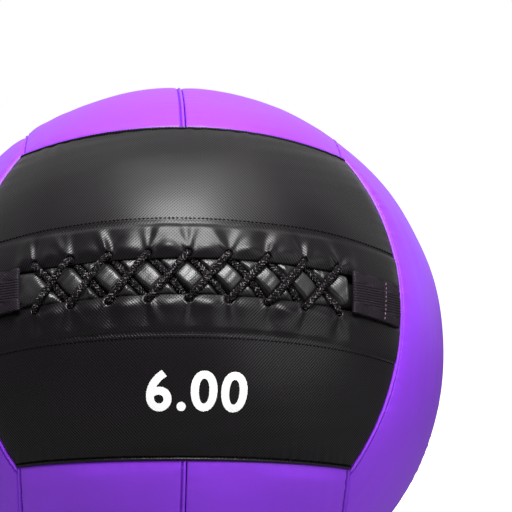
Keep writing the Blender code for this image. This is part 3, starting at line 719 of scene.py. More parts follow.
def skin_columns(shape, inner, coarse):
    """Pairs of u and allowance depth from end to end; inner gives extra distances near the middle."""
    half = settings().shell.ball_radius * side_angle(shape, 0.0)
    gap = settings().shell.seam_gap / 2
    edge = 1 - gap / half
    ends = [(edge, depth) for depth in allowance_lines()]
    reach = half - inner[-1] if len(inner) else half
    ends += [(1 - distance / half, 0.0) for distance in lines_from_seam(reach, coarse)]
    middle = [(along / half, 0.0) for along in inner[:-1]] if len(inner) else []
    right = sorted(set(middle + ends), key=lambda pair: (pair[0], pair[1]))
    right = [pair for pair in right if pair[0] > 1e-9]
    return [(-u, depth) for u, depth in reversed(right)] + [(0.0, 0.0)] + right


def panel_rows(width):
    """Pairs of v and allowance depth across a plain panel, from its middle seam to its long seam."""
    shell = settings().shell
    gap = shell.seam_gap / 2 / width
    half_rows = lines_from_seam(width / 2, shell.mesh_step)
    rows = [(gap, depth) for depth in allowance_lines()]
    rows += [(distance / width, 0.0) for distance in half_rows]
    rows += [(1 - distance / width, 0.0) for distance in reversed(half_rows[:-1])]
    return rows + [(1 - gap, depth) for depth in reversed(allowance_lines())]


def is_deep(depths, index):
    """Whether a cell of a panel's grid lies in an allowance."""
    return max(depths[index], depths[index + 1]) > 0


def make_skin(shape):
    """One shell panel: its skin, drawn in at the seams, and the allowances turned in along them."""
    shell = settings().shell
    columns = np.array(skin_columns(shape, [], shell.mesh_step))
    rows = np.array(panel_rows(shell.ball_radius * long_angle(shape, 0.0)))
    bm = sheet_mesh(
        len(columns),
        len(rows),
        lambda column, row: not (is_deep(columns[:, 1], column) and is_deep(rows[:, 1], row)),
    )
    column, row = grid_places(bm)
    directions = panel_direction(shape, columns[column, 0], rows[row, 0], 0.0)
    height, stitch = skin_relief(shape, directions, True)
    height -= np.maximum(columns[column, 1], rows[row, 1])
    finish_skin(bm, shape, directions, height, stitch)
    paint_name = "black" if shape.face == "back" else "purple"
    fabric = finish(paint_name + "_coated_fabric")
    piece = finish_piece(bm, shape.name + "_skin", fabric, [shape.name + "_panel"])
    return give_wall(piece, shell.skin_thickness)


def finish_skin(bm, shape, directions, height, stitch):
    """Place a skin's vertices and write the coordinates of its emboss and its stitch holes."""
    middle = np.array(panel_direction(shape, np.zeros(1), np.full(1, 0.5), 0.0)[0])
    pattern = pattern_place(directions, middle)
    write_layer(bm, "emboss", [(*place, 0.0) for place in pattern])
    write_layer(bm, "stitch", stitch)
    move_vertices(bm, placed(directions @ shape.turn.T, height))
    joined(bm, from_centre)


def hem_rows(width):
    """Rows of a front panel, from the fold's inner edge round the hem and up to the long seam."""
    lacing = settings().lacing
    cell = lacing.hole_diameter / 2 / HOLE_CELLS
    bend = lacing.hem_thickness / 2
    block = [(lacing.hole_inset + cell * step, step) for step in range(-HOLE_CELLS, BLEND_CELLS + 1)]
    block_end = block[-1][0]
    under_end = lacing.hem_width + 0.0015
    under = np.linspace(under_end, block_end, 9)[:-1]
    rows = [HemRow(inset, -2 * bend, None, 0.0) for inset in under]
    rows += [HemRow(inset, -2 * bend, step, 0.0) for inset, step in reversed(block)]
    for turn in np.radians((150, 120, 90, 60, 30)):
        rows.append(HemRow(bend * (1 - sin(turn)), -bend * (1 - cos(turn)), None, (1 + cos(turn)) / 2))
    rows += [HemRow(inset, 0.0, step, 1.0) for inset, step in block]
    stitch = [lacing.hem_width + 0.0006 * step for step in range(-2, 3)]
    far = lines_from_seam(width - stitch[-1], settings().shell.mesh_step)
    plain = list(np.linspace(block_end, stitch[0], 9)[1:-1]) + stitch
    plain += [width - distance for distance in reversed(far[:-1])]
    return rows + [HemRow(inset, 0.0, None, 1.0) for inset in plain]


def front_columns(shape):
    """A front panel's columns, the columns through the lace holes, and the spacing of columns near them."""
    lacing = settings().lacing
    per_pitch = round(lacing.hole_pitch / (lacing.hole_diameter / 2 / HOLE_CELLS))
    step = lacing.hole_pitch / per_pitch
    beside = (lacing.hole_count - 1) // 2
    inner = [step * index for index in range(1, beside * per_pitch + BLEND_CELLS + 1)]
    columns = skin_columns(shape, inner, settings().shell.mesh_step)
    middle = (len(columns) - 1) // 2
    return columns, middle + per_pitch * np.arange(-beside, beside + 1), step


def kept_cells(columns, rows, row_depths, hole_columns):
    """Which cells of a front panel's grid have skin: not its corners, and not its lace holes."""
    depths = np.array([depth for _, depth in columns])
    cells = [NO_CELL if row.cell is None else abs(row.cell) for row in rows]

    def keep(column, row):
        """Whether one cell has skin."""
        if is_deep(depths, column) and (is_deep(row_depths, row) or rows[row].top < 1):
            return False
        near = min(hole_columns, key=lambda hole: abs(column + 0.5 - hole)) - column
        in_hole_column = -HOLE_CELLS < near <= HOLE_CELLS
        return not (in_hole_column and max(cells[row], cells[row + 1]) <= HOLE_CELLS)

    return keep


def round_holes(along, rise, across, up, hole_along, step):
    """Move the cells about each lace hole onto circles; gives which moved, and distances from the holes."""
    lacing = settings().lacing
    cell = lacing.hole_diameter / 2 / HOLE_CELLS
    ring = np.maximum(np.abs(across), np.abs(up))
    moved = (ring <= BLEND_CELLS) & (ring > 0)
    round_share = np.clip((BLEND_CELLS - ring) / (BLEND_CELLS - HOLE_CELLS), 0, 1)
    warp = 1 + round_share * (ring / np.maximum(np.hypot(across, up), 1e-6) - 1)
    along[moved] = (hole_along + across * step * warp)[moved]
    rise[moved] = (lacing.hole_inset + up * cell * warp)[moved]
    away = np.where(moved, np.hypot(along - hole_along, rise - lacing.hole_inset), 1.0)
    return moved, away


def make_front_skin(shape):
    """A black front panel: hem folded back to its topstitch, round lace holes, three allowances."""
    shell = settings().shell
    lacing = settings().lacing
    radius = shell.ball_radius
    offset = hem_offset(shape)
    width = radius * long_angle(shape, 0.0) - offset
    columns, hole_columns, step = front_columns(shape)
    rows = hem_rows(width)
    row_depths = np.array([0.0] * len(rows) + sorted(allowance_lines()))
    rows += [HemRow(width - shell.seam_gap / 2, 0.0, None, 1.0)] * len(allowance_lines())
    bm = sheet_mesh(len(columns), len(rows), kept_cells(columns, rows, row_depths, hole_columns))
    column, row = grid_places(bm)
    u, column_depth = np.array(columns)[column].T
    inset, level, top = np.array([(hem.inset, hem.height, hem.top) for hem in rows])[row].T
    up = np.array([NO_CELL if hem.cell is None else hem.cell for hem in rows])[row]
    directions = panel_direction(shape, u, inset / width, offset)
    along = radius * np.arctan2(directions[:, 0], -directions[:, 1])
    rise = radius * np.arcsin(directions[:, 2]) - offset
    nearest = hole_columns[np.argmin(np.abs(column[:, None] - hole_columns), axis=1)]
    hole_along = (nearest - (len(columns) - 1) // 2) * step
    moved, away = round_holes(along, rise, column - nearest, up, hole_along, step)
    directions[moved] = around(along[moved] / radius, (rise[moved] + offset) / radius)
    height, stitch = skin_relief(shape, directions, False)
    lip = hole_relief(away)
    height = height + hem_relief(shape, along, rise) + level
    height += np.where(top == 1, lip, 0.0) - np.where(top == 0, 0.8 * lip, 0.0)
    height -= np.maximum(column_depth, row_depths[row])
    stitch[:, 1] = np.minimum(stitch[:, 1], np.abs(rise - lacing.hem_width) + shell.stitch_inset)
    finish_skin(bm, shape, directions, height, stitch)
    fabric = finish("black_coated_fabric")
    piece = finish_piece(bm, shape.name + "_skin", fabric, [shape.name + "_panel"])
    return give_wall(piece, shell.skin_thickness)


# Stitches


def stitch_rows():
    """Every topstitch row: its name, its panel, whether it is on black, and its line of directions."""
    shell = settings().shell
    lacing = settings().lacing
    run = np.linspace(-0.985, 0.985, 400)
    for shape in panel_shapes():
        black = shape.face in ("front", "back")
        yield shape.name + "_seam_stitches", shape, black, long_seam(shape, run, shell.stitch_inset)
        if shape.name in STITCHED_MIDDLES:
            name = f"{shape.face}_middle_stitches"
            latitude = shell.stitch_inset / shell.ball_radius
            yield name, shape, black, around(run * side_angle(shape, 0.0), latitude)
        if shape.face == "front":
            offset = hem_offset(shape)
            width = shell.ball_radius * long_angle(shape, 0.0) - offset
            line = panel_direction(shape, run, np.full_like(run, lacing.hem_width / width), offset)
            yield shape.half + "_hem_stitches", shape, black, line


def top_height(shape, directions):
    """Height of a panel's outer skin at directions in the panel's own frame."""
    if shape.face != "front":
        return skin_relief(shape, directions, True)[0]
    radius = settings().shell.ball_radius
    height = skin_relief(shape, directions, False)[0]
    along = radius * np.arctan2(directions[:, 0], -directions[:, 1])
    inset = radius * np.arcsin(directions[:, 2]) - hem_offset(shape)
    return height + hem_relief(shape, along, inset)


def add_stitch(bm, place, normal, tangent, size, segments, swing=Matrix.Identity(4)):
    """Add one stitch, a small grain of thread that lies along tangent."""
    frame_turn = Matrix((tangent, normal.cross(tangent), normal)).transposed().to_4x4()
    matrix = Matrix.Translation(place) @ frame_turn @ swing @ Matrix.Diagonal((*size, 1))
    bmesh.ops.create_uvsphere(bm, u_segments=segments[0], v_segments=segments[1], radius=1, matrix=matrix)


def along_line(line, run, marks):
    """Directions on a line at these distances along it."""
    return unit(np.stack([np.interp(marks, run, line[:, axis]) for axis in range(3)], axis=-1))


def make_stitch_row(name, shape, black, line):
    """A row of stitches, each a small grain of thread pulled into the skin."""
    shell = settings().shell
    thread = shell.thread_diameter
    steps = np.linalg.norm(np.diff(line, axis=0), axis=1) * shell.ball_radius
    run = np.concatenate(([0.0], np.cumsum(steps)))
    marks = (np.arange(int(run[-1] / shell.stitch_pitch)) + 0.5) * shell.stitch_pitch
    places = along_line(line, run, marks)
    turned = places @ shape.turn.T
    ahead = along_line(line, run, marks + 1e-4) @ shape.turn.T
    points = placed(turned, top_height(shape, places) + 0.2 * thread)
    normals = unit(to_row(turned) - to_row(np.zeros(3)))
    tangents = unit(to_row(ahead) - to_row(turned))
    draw = np.random.default_rng(300 + shape.seed)
    size = (shell.stitch_length / 2, 0.55 * thread, 0.5 * thread)
    bm = bmesh.new()
    for point, normal, tangent in zip(points, normals, tangents):
        swing = Matrix.Rotation(draw.normal(0, 0.06), 4, "Z")
        swing = swing @ Matrix.Rotation(draw.normal(0, 0.04), 4, "Y")
        add_stitch(bm, point, Vector(normal), Vector(tangent), size, (6, 5), swing)
    replaced = [shape.half + "_hem_thread"] if name.endswith("_hem_stitches") else []
    colour_name = "black" if black else "purple"
    return finish_piece(bm, name, finish(colour_name + "_sewing_thread"), replaced)


# Lace


def through_hole(hole, before, after, rises):
    """Lace points through a hole, as along, across and height, from one strand to the next."""
    lacing = settings().lacing
    hole = Vector(hole)
    before = Vector(before).normalized()
    after = Vector(after).normalized()
    top_way = after if rises else -before
    low_way = -before if rises else after
    slant = lacing.lace_bend * (1 - sin(pi / 4))

    def bend(way, level, inwards):
        """The quarter turn between a strand and the hole."""
        return [
            (*(hole + way * lacing.lace_bend), level),
            (*(hole + way * slant), level + inwards * slant),
            (*hole, level + inwards * lacing.lace_bend),
        ]

    top = bend(top_way, lacing.lace_top, -1)
    low = bend(low_way, lacing.lace_low, 1)
    return low + top[::-1] if rises else top + low[::-1]


def strand_between(start, end, start_is_top, end_is_top):
    """Lace points of one strand across the opening; strands that end low pass under at the crossing."""
    lacing = settings().lacing
    start = Vector(start)
    end = Vector(end)
    if start_is_top and end_is_top:
        over = 0.92 * lacing.lace_flatness * lacing.lace_diameter
        return [(*start.lerp(end, 0.5), lacing.lace_crossing + over)]
    levels = [lacing.lace_top if is_top else lacing.lace_low for is_top in (start_is_top, end_is_top)]
    half = ((0.125, 0.0), (0.2, 0.45), (0.28, 0.88), (0.38, 1.0))
    steps = [*half, (0.5, 1.0), *((1 - part, rise) for part, rise in reversed(half))]
    points = []
    for part, rise in steps:
        level = levels[0] if part < 0.5 else levels[1]
        points.append((*start.lerp(end, part), level + (lacing.lace_crossing - level) * rise))
    return points


def end_points(along, across, at_start):
    """A lace end that runs on under the hem to its knot."""
    lacing = settings().lacing
    knot = 0.0045
    dip = 0.0018
    tail = 0.0185
    level = lacing.lace_low - dip
    reach = along + tail
    points = [
        (reach - 2 * knot, across, lacing.lace_low),
        (reach - knot, across, level),
        (reach, across, level),
        (reach + knot / 2, across, level),
    ]
    return points[::-1] if at_start else points


def bar_points(along):
    """The lace's turn from the lower hem to the upper one, beyond the tongue's end."""
    lacing = settings().lacing
    past_hole = 0.0165
    corner = 0.0065
    reach = along - past_hole
    inset = lacing.opening_width / 2 - corner
    bend = lacing.lace_bend
    hole = lacing.opening_width / 2 + lacing.hole_inset
    low = lacing.lace_low
    return [
        (reach + bend, -hole, low),
        (reach, -hole + bend, low),
        (reach - bend / 2, -inset, low),
        (reach - bend / 2, inset, low),
        (reach, hole - bend, low),
        (reach + bend, hole, low),
    ]


def lace_route():
    """The lace from end to end: to the left in one zigzag, round under the left tab, and back."""
    lacing = settings().lacing
    hole = lacing.opening_width / 2 + lacing.hole_inset
    sides = (-hole, hole)
    stops = [(along, sides[index % 2]) for index, along in enumerate(hole_places()[::-1])]
    turned = [(along, -across) for along, across in reversed(stops)]
    rises = [stop[1] > 0 or index == 0 for index, stop in enumerate(stops)]
    rises_back = [stop[1] < 0 or index == 0 for index, stop in enumerate(turned)]
    right = Vector((1, 0))
    route = []
    for visits, rising, is_back in ((stops, rises, False), (turned, rises_back, True)):
        for index, stop in enumerate(visits):
            here = Vector(stop)
            last = index == len(visits) - 1
            sideways = right if is_back else -right
            before = sideways if index == 0 else here - Vector(visits[index - 1])
            after = sideways if last else Vector(visits[index + 1]) - here
            route += through_hole(here, before, after, rising[index])
            if not last:
                route += strand_between(here, visits[index + 1], rising[index], not rising[index + 1])
        if not is_back:
            route += bar_points(stops[-1][0])
    return end_points(*stops[0], True) + route + end_points(*turned[-1], False)


def smooth_line(points, step):
    """Evenly spaced points on a smooth curve through the given ones."""
    points = np.asarray(points, float)
    before = np.vstack((2 * points[0] - points[1], points[:-1]))
    after = np.vstack((points[1:], 2 * points[-1] - points[-2]))
    gap_before = np.linalg.norm(points - before, axis=1)[:, None]
    gap_after = np.linalg.norm(after - points, axis=1)[:, None]
    slope = (points - before) / gap_before * gap_after + (after - points) / gap_after * gap_before
    slope /= gap_before + gap_after
    fine = []
    for index in range(len(points) - 1):
        span = gap_after[index]
        part = np.linspace(0, 1, 12, endpoint=False)[:, None]
        fine.append(
            (2 * part**3 - 3 * part**2 + 1) * points[index]
            + (part**3 - 2 * part**2 + part) * slope[index] * span
            + (-2 * part**3 + 3 * part**2) * points[index + 1]
            + (part**3 - part**2) * slope[index + 1] * span
        )
    line = np.vstack(fine + [points[-1:]])
    run = np.concatenate(([0.0], np.cumsum(np.linalg.norm(np.diff(line, axis=0), axis=1))))
    marks = np.linspace(0, run[-1], int(run[-1] / step) + 1)
    return np.stack([np.interp(marks, run, line[:, axis]) for axis in range(3)], axis=-1)


def carried_frames(line):
    """Two directions square to a line at each of its points, carried along it without twist."""
    ahead = unit(np.gradient(line, axis=0))
    side = unit(np.cross(ahead[0], (0.3, 0.9, 0.1)))
    sides = []
    for way in ahead:
        side = side - way * (way @ side)
        side = side / np.linalg.norm(side)
        sides.append(side)
    sides = np.array(sides)
    return sides, np.cross(ahead, sides), ahead


def make_tubes(centres, outward, sideways, thick, wide, sides):
    """A bmesh of tubes of flattened section; centres, outward and sideways hold tube, point, axis."""
    tubes, points, _ = centres.shape
    rows = tubes * (sides + 1)
    bm = sheet_mesh(points, rows, lambda column, row: row % (sides + 1) != sides)
    column, row = grid_places(bm)
    tube = row // (sides + 1)
    turn = 2 * pi * (row % (sides + 1)) / sides
    thick = np.broadcast_to(thick, (tubes, points))
    wide = np.broadcast_to(wide, (tubes, points))
    place = centres[tube, column]
    place = place + outward[tube, column] * (thick[tube, column] * np.cos(turn) / 2)[:, None]
    place = place + sideways[tube, column] * (wide[tube, column] * np.sin(turn) / 2)[:, None]
    run = np.linalg.norm(np.diff(centres, axis=1), axis=2).cumsum(axis=1)
    run = np.concatenate((np.zeros((tubes, 1)), run), axis=1)
    write_layer(bm, "strand", np.stack((run[tube, column], turn, tube), axis=-1))
    move_vertices(bm, place)
    bmesh.ops.remove_doubles(bm, verts=bm.verts, dist=MERGE)
    open_edges = [edge for edge in bm.edges if edge.is_boundary]
    bmesh.ops.holes_fill(bm, edges=open_edges, sides=0)
    face_out(bm)
    return bm


def make_braid(line, diameter, lay, strands, swell):
    """Centres and section directions of a braid's strands, which wind both ways about a line."""
    side, other, ahead = carried_frames(line)
    steps = np.linalg.norm(np.diff(line, axis=0), axis=1)
    run = np.concatenate(([0.0], np.cumsum(steps)))
    thick = 0.2 * diameter
    wave = BRAID_WAVE * diameter
    middle_radius = diameter / 2 - thick / 2 - wave
    crossing = 2 * strands * run / lay
    centres = []
    outward = []
    sideways = []
    for way in (1, -1):
        for index in range(strands):
            turn = way * 2 * pi * run / lay + 2 * pi * index / strands
            phase = pi / 2 * (2 * index + way * crossing)
            over = way * np.cos(phase - pi / 4)
            radial = side * np.cos(turn)[:, None] + other * np.sin(turn)[:, None]
            around_way = -side * np.sin(turn)[:, None] + other * np.cos(turn)[:, None]
            radius = (middle_radius + wave * over) * swell
            slant = way * 2 * pi * radius / lay
            strand_way = unit(ahead + around_way * slant[:, None])
            centres.append(line + radial * radius[:, None])
            outward.append(radial)
            sideways.append(np.cross(strand_way, radial))
    return np.array(centres), np.array(outward), np.array(sideways)


def braid_mesh(line, braid, strand, core):
    """A bmesh of a braid and the core under it; strand and core give thickness, width and sides."""
    bm = make_tubes(*braid, *strand)
    side, other, _ = carried_frames(line)
    core_bm = make_tubes(line[None], side[None], other[None], *core)
    core_mesh = bpy.data.meshes.new("core")
    core_bm.to_mesh(core_mesh)
    core_bm.free()
    bm.from_mesh(core_mesh)
    bpy.data.meshes.remove(core_mesh)
    return bm


def knot_swell(run):
    """How much wider the lace is along its run, for the knots near both its ends."""
    from_end = np.minimum(run, run[-1] - run)
    return 1 + 0.55 * bell(from_end, 0.0045, 0.0024)


def make_lace():
    """The braided lace: strands over a core, through all the holes, with a knot at each end."""
    lacing = settings().lacing
    diameter = lacing.lace_diameter
    route = np.array([lacing_point(*point) for point in lace_route()])
    line = to_row(smooth_line(route, LACE_STEP))
    swell = knot_swell(np.linspace(0, len(line) * LACE_STEP, len(line)))
    braid = make_braid(line, diameter, lacing.braid_lay, lacing.braid_strands, swell)
    core = BRAID_CORE * diameter * swell
    strand = (STRAND_THICKNESS * diameter, STRAND_WIDTH * diameter, 8)
    bm = braid_mesh(line, braid, strand, (core, core, 6))
    press_lace(bm, line)
    return finish_piece(bm, "braided_lace", finish("braided_cord"), ["lace"])


def press_lace(bm, line):
    """Flatten the lace against the ball, since the filling presses it out under tension."""
    flatness = settings().lacing.lace_flatness
    centre = to_row(np.zeros(3))
    finder = KDTree(len(line))
    for index, point in enumerate(line):
        finder.insert(point, index)
    finder.balance()
    for vertex in bm.verts:
        middle = finder.find(vertex.co)[0]
        outward = (middle - Vector(centre)).normalized()
        vertex.co -= outward * (vertex.co - middle).dot(outward) * (1 - flatness)


# Tongue and tabs


def lace_limits(along, across):
    """Highest level that leaves room for the lace above, and the distance to the nearest top strand."""
    lacing = settings().lacing
    room = 0.00015
    line = smooth_line(lace_route(), MEETING_STEP)
    run = np.linspace(0, 1, len(line)) * len(line) * MEETING_STEP
    radius = room + lacing.lace_diameter / 2 * knot_swell(run)
    on_top = line[:, 2] > lacing.lace_crossing + 0.001
    limits = np.empty_like(along)
    nearest = np.empty_like(along)
    batch = 2000
    for start in range(0, len(along), batch):
        part = slice(start, start + batch)
        away = np.hypot(along[part, None] - line[:, 0], across[part, None] - line[:, 1])
        inside = np.minimum(away / radius, 0.9)
        under = radius * lacing.lace_flatness * np.sqrt(1 - inside**2)
        limits[part] = np.min(line[:, 2] - under + 2.4 * np.clip(away - 0.9 * radius, 0, None), axis=1)
        nearest[part] = np.min(away[:, on_top], axis=1)
    return limits, nearest


def tongue_pillows(along, across, nearest, crown):
    """Height of the tongue's uneven pillows between the strands, which press it in where they cross it."""
    lacing = settings().lacing
    scatter = np.random.default_rng(41).uniform(-1, 1, size=(3, 64))
    cell = (np.round(along / lacing.hole_pitch) + 20).astype(int)
    size = 1 + 0.18 * scatter[0][cell]
    lower_edge = 1 - 0.36 * np.clip(across / (lacing.opening_width / 2), -1, 1)
    height = lacing.pillow_height * size * crown * lower_edge
    height -= 0.0009 * bell(nearest, 0.0, 0.0036) * crown
    across_cell = along - np.round(along / lacing.hole_pitch) * lacing.hole_pitch
    lean = 0.6 * scatter[1][cell] * across_cell + 0.4 * scatter[2][cell] * across
    height += 0.16 * lean * crown * bell(across_cell, 0.0, 0.006)
    creases = waves(along - 0.75 * across, 0.0062, 61) + 0.6 * waves(along + 0.7 * across, 0.0071, 62)
    return height + 0.00010 * creases * crown


def tongue_height(along, across):
    """Height of the tongue: pressed up between the strands, and tucked under both hems."""
    lacing = settings().lacing
    fold_drop = 0.0052
    fold_lip = 0.0005
    end_rise = 0.0026
    softness = 0.0019
    limits, nearest = lace_limits(along, across)
    crown = np.clip(1 - (np.abs(across) / (1.04 * lacing.opening_width / 2)) ** 5, 0, 1)
    height = tongue_pillows(along, across, nearest, crown) - lacing.hem_thickness - 0.0008
    past = np.maximum(along - lacing.tongue_right, -along - lacing.tongue_left)
    height -= fold_drop * smooth_step(past / 0.0016)
    height += fold_lip * bell(past, -0.0006, 0.0009) * crown
    height += end_rise * smooth_step(1 + past / 0.012) * (past < 0) * (along > 0) * crown
    return (height + limits - np.sqrt((height - limits) ** 2 + softness**2)) / 2


def make_tongue():
    """The tongue behind the lace, pressed out between the strands by the filling."""
    lacing = settings().lacing
    half = lacing.opening_width / 2
    reach = lacing.tongue_reach
    columns = np.linspace(-reach, reach, round(2 * reach / TONGUE_STEP))
    low = -half - lacing.hem_width + 0.001
    high = half + lacing.tongue_underlap
    rows = np.linspace(low, high, round((high - low) / TONGUE_STEP))
    bm = sheet_mesh(len(columns), len(rows))
    column, row = grid_places(bm)
    along = columns[column]
    across = rows[row]
    height = tongue_height(along, across)
    directions = unit(lacing_point(along, across, 0.0 * along))
    write_layer(bm, "emboss", np.stack((along, across, 0 * along), axis=-1))
    write_layer(bm, "stitch", np.stack((along, 0 * along + 1, 0 * along + 1), axis=-1))
    move_vertices(bm, placed(directions, height))
    joined(bm, from_centre)
    piece = finish_piece(bm, "tongue", finish("glossy_coated_fabric"), ["lacing_tongue"])
    give_wall(piece, settings().shell.skin_thickness)
    return piece


def tab_fold():
    """Distance of a tab's stitch line along the opening from its middle."""
    ball = settings()
    shape = panel_shapes()[0]
    half = ball.shell.ball_radius * side_angle(shape, 0.0)
    return half - ball.tabs.seam_margin - ball.tabs.base_length


def tab_height(along):
    """Height of a tab's under side: it follows the skin into the seam, and its free end stands off."""
    tabs = settings().tabs
    fold = tab_fold()
    end = fold + tabs.base_length + tabs.seam_margin
    sink = 0.0015 * np.clip(1 - (end - along) / 0.022, 0, None)
    sink += 0.0034 * smooth_step(1 - (end - tabs.seam_margin - along) / 0.0042)
    return 0.0003 - sink + tabs.lift * smooth_step((fold - along) / tabs.flap_length)


def tab_path():
    """Along, height and run of the webbing's middle line: out along the skin, round the fold and back."""
    tabs = settings().tabs
    fold = tab_fold()
    root = fold + tabs.base_length
    free = fold - tabs.flap_length
    half = tabs.webbing_thickness / 2
    lift = (tabs.tab_thickness - tabs.webbing_thickness) / 2
    turn_middle = free + lift + half
    straight = np.linspace(root, turn_middle, 56)
    low = tab_height(straight) + half
    high = tab_height(straight) + tabs.tab_thickness - half
    bend = np.radians(np.linspace(-90, 90, 11)[1:-1])
    bend_along = turn_middle - lift * np.cos(bend)
    bend_height = tab_height(turn_middle) + tabs.tab_thickness / 2 + lift * np.sin(bend)
    along = np.concatenate((straight, bend_along, straight[::-1]))
    height = np.concatenate((low, bend_height, high[::-1]))
    run = np.concatenate(([0.0], np.cumsum(np.hypot(np.diff(along), np.diff(height)))))
    return along, height, run


def tab_stitch_dip(along, across):
    """How far the stitch line presses the webbing in."""
    return 0.0005 * bell(along, tab_fold() + 0.0006 + 0.06 * across, 0.0011)


def tab_rows():
    """Distances across a tab, closer towards its edges."""
    half = settings().tabs.width / 2
    edge = half * (1 - np.cos(np.linspace(0, pi / 3, 5)))
    middle = np.linspace(edge[-1] - half, half - edge[-1], 45)
    return np.concatenate((edge[:-1] - half, middle, half - edge[-2::-1]))


def apply_wall(piece):
    """Make a piece's wall a part of its mesh."""
    bpy.context.view_layer.objects.active = piece
    with bpy.context.temp_override(object=piece, active_object=piece):
        bpy.ops.object.modifier_apply(modifier="wall")


def make_tab(side, hand):
    """A folded webbing tab, sewn down near the side seam."""
    tabs = settings().tabs
    edge_drop = 0.00025
    rib_height = 0.00020
    unevenness_height = 0.00012
    along, height, run = tab_path()
    rows = tab_rows()
    bm = sheet_mesh(len(along), len(rows))
    column, row = grid_places(bm)
    across = rows[row]
    level = height[column] - tab_stitch_dip(along[column], across) * (column > len(along) / 2)
    level -= edge_drop * np.abs(across / (tabs.width / 2)) ** 6
    level += rib_height * np.cos(2 * pi * (across - 0.10 * along[column]) / tabs.rib_pitch)
    level += unevenness_height * waves(along[column] + 0.3 * across, 0.011, 81 + hand)
    write_layer(bm, "strip", np.stack((run[column], across, 0 * across), axis=-1))
    move_vertices(bm, to_row(lacing_point(hand * along[column], across, level)))
    joined(bm, from_centre)
    replaced = [side + "_tab_base", side + "_tab_flap"]
    piece = finish_piece(bm, side + "_tab", finish("ribbed_webbing"), replaced, body=None)
    apply_wall(give_wall(piece, tabs.webbing_thickness, 0))
    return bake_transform(piece)


def make_tab_stitches(side, hand):
    """The slanted row of stitches that holds a tab down, with paler thread than the webbing."""
    tabs = settings().tabs
    thread = 0.6 * settings().shell.thread_diameter
    size = (0.00115, thread, thread)
    bm = bmesh.new()
    total = 9
    reach = tabs.width / 2 - 0.002
    for index in range(total):
        across = reach * (2 * index / (total - 1) - 1)
        along = tab_fold() + 0.0024 + 0.06 * across
        height = tab_height(along) + tabs.tab_thickness - 0.00025
        ends = lacing_point(
            np.array([hand * along, hand * (along + 0.0002)]),
            np.array([across, across + 0.001]),
            np.array([height, height]),
        )
        start, ahead = (Vector(point) for point in to_row(ends))
        add_stitch(bm, start, from_centre(start), (ahead - start).normalized(), size, (8, 6))
    return finish_piece(bm, side + "_tab_stitches", finish("pale_sewing_thread"))


# Weight mark


def text_mesh(body):
    """A flat bmesh of bold figures."""
    text = bpy.data.curves.new("weight_text", "FONT")
    text.body = body
    text.size = 1.0
    text.offset = 0.026
    text.space_character = 1.12
    text.resolution_u = 6
    holder = bpy.data.objects.new("weight_text", text)
    bpy.context.scene.collection.objects.link(holder)
    bpy.context.view_layer.update()
    flat = bpy.data.meshes.new_from_object(holder)
    bpy.data.objects.remove(holder)
    bm = bmesh.new()
    bm.from_mesh(flat)
    bpy.data.meshes.remove(flat)
    bmesh.ops.remove_doubles(bm, verts=bm.verts, dist=1e-5)
    return bm


def fit_height(bm, height):
    """Centre a flat bmesh and scale it to this height; gives its size."""
    points = np.array([vertex.co for vertex in bm.verts])
    low = points.min(axis=0)
    high = points.max(axis=0)
    size = (high - low)[:2] * height / (high - low)[1]
    for vertex in bm.verts:
        flat_place = (np.array(vertex.co)[:2] - low[:2]) / (high - low)[:2] - 0.5
        vertex.co = (*(flat_place * size), 0.0)
    return size


def cut_in_strips(bm, size, width):
    """Cut a flat bmesh both ways into strips of about this width, so that it can follow the ball."""
    for axis, reach in enumerate(size):
        cuts = int(reach / width)
        way = Vector((0, 0, 0))
        way[axis] = 1
        for index in range(1, cuts):
            place = way * (reach * (index / cuts - 0.5))
            geometry = bm.verts[:] + bm.edges[:] + bm.faces[:]
            bmesh.ops.bisect_plane(bm, geom=geometry, dist=MERGE, plane_co=place, plane_no=way)


def make_mark():
    """The weight as plain bold numbers, printed on the front lower panel."""
    ink_height = 0.00016
    ink_depth = 0.00005
    strip_width = 0.003
    bm = text_mesh(settings().mark)
    cut_in_strips(bm, fit_height(bm, MARK_HEIGHT), strip_width)
    raised = bmesh.ops.extrude_face_region(bm, geom=bm.faces[:])["geom"]
    tops = {item for item in raised if isinstance(item, bmesh.types.BMVert)}
    is_top = np.array([vertex in tops for vertex in bm.verts])
    shape = next(shape for shape in panel_shapes() if shape.name == "front_lower")
    radius = settings().shell.ball_radius
    flat_places = np.array([vertex.co for vertex in bm.verts])
    longitude = MARK_LONGITUDE + flat_places[:, 0] / radius / cos(MARK_LATITUDE)
    directions = around(longitude, MARK_LATITUDE + flat_places[:, 1] / radius)
    height = top_height(shape, directions @ shape.turn) + np.where(is_top, ink_height, -ink_depth)
    write_layer(bm, "print", flat_places)
    move_vertices(bm, placed(directions, height))
    joined(bm, from_centre)
    mark = finish_piece(bm, "weight_mark", finish("screen_print"))
    mark.data.set_sharp_from_angle(angle=radians(40))
    return mark


# Inside the ball


def pad_mesh(columns, rows):
    """A closed flat bmesh of two layers, and which of its vertices are of the inner layer."""
    bm = sheet_mesh(columns, rows)
    layer = bm.verts.layers.int.new("side")
    inner = bmesh.ops.extrude_face_region(bm, geom=bm.faces[:])["geom"]
    for item in inner:
        if isinstance(item, bmesh.types.BMVert):
            item[layer] = 1
    is_inner = np.array([vertex[layer] for vertex in bm.verts])
    bm.verts.layers.int.remove(bm.verts.layers.int["side"])
    return bm, is_inner


def pad_lines(reach, start, count):
    """Places across a pad, from start: close over its rounded edges and even between them."""
    inset = settings().inside.pad_inset
    ends = [inset + PAD_EDGE * (1 - cos(turn)) for turn in np.linspace(0, pi / 2, 5)]
    places = [distance / reach + start for distance in ends]
    places += list(np.linspace(ends[-1] / reach + start, 1 - ends[-1] / reach, count)[1:-1])
    return np.array(places + [1 - distance / reach for distance in reversed(ends)])


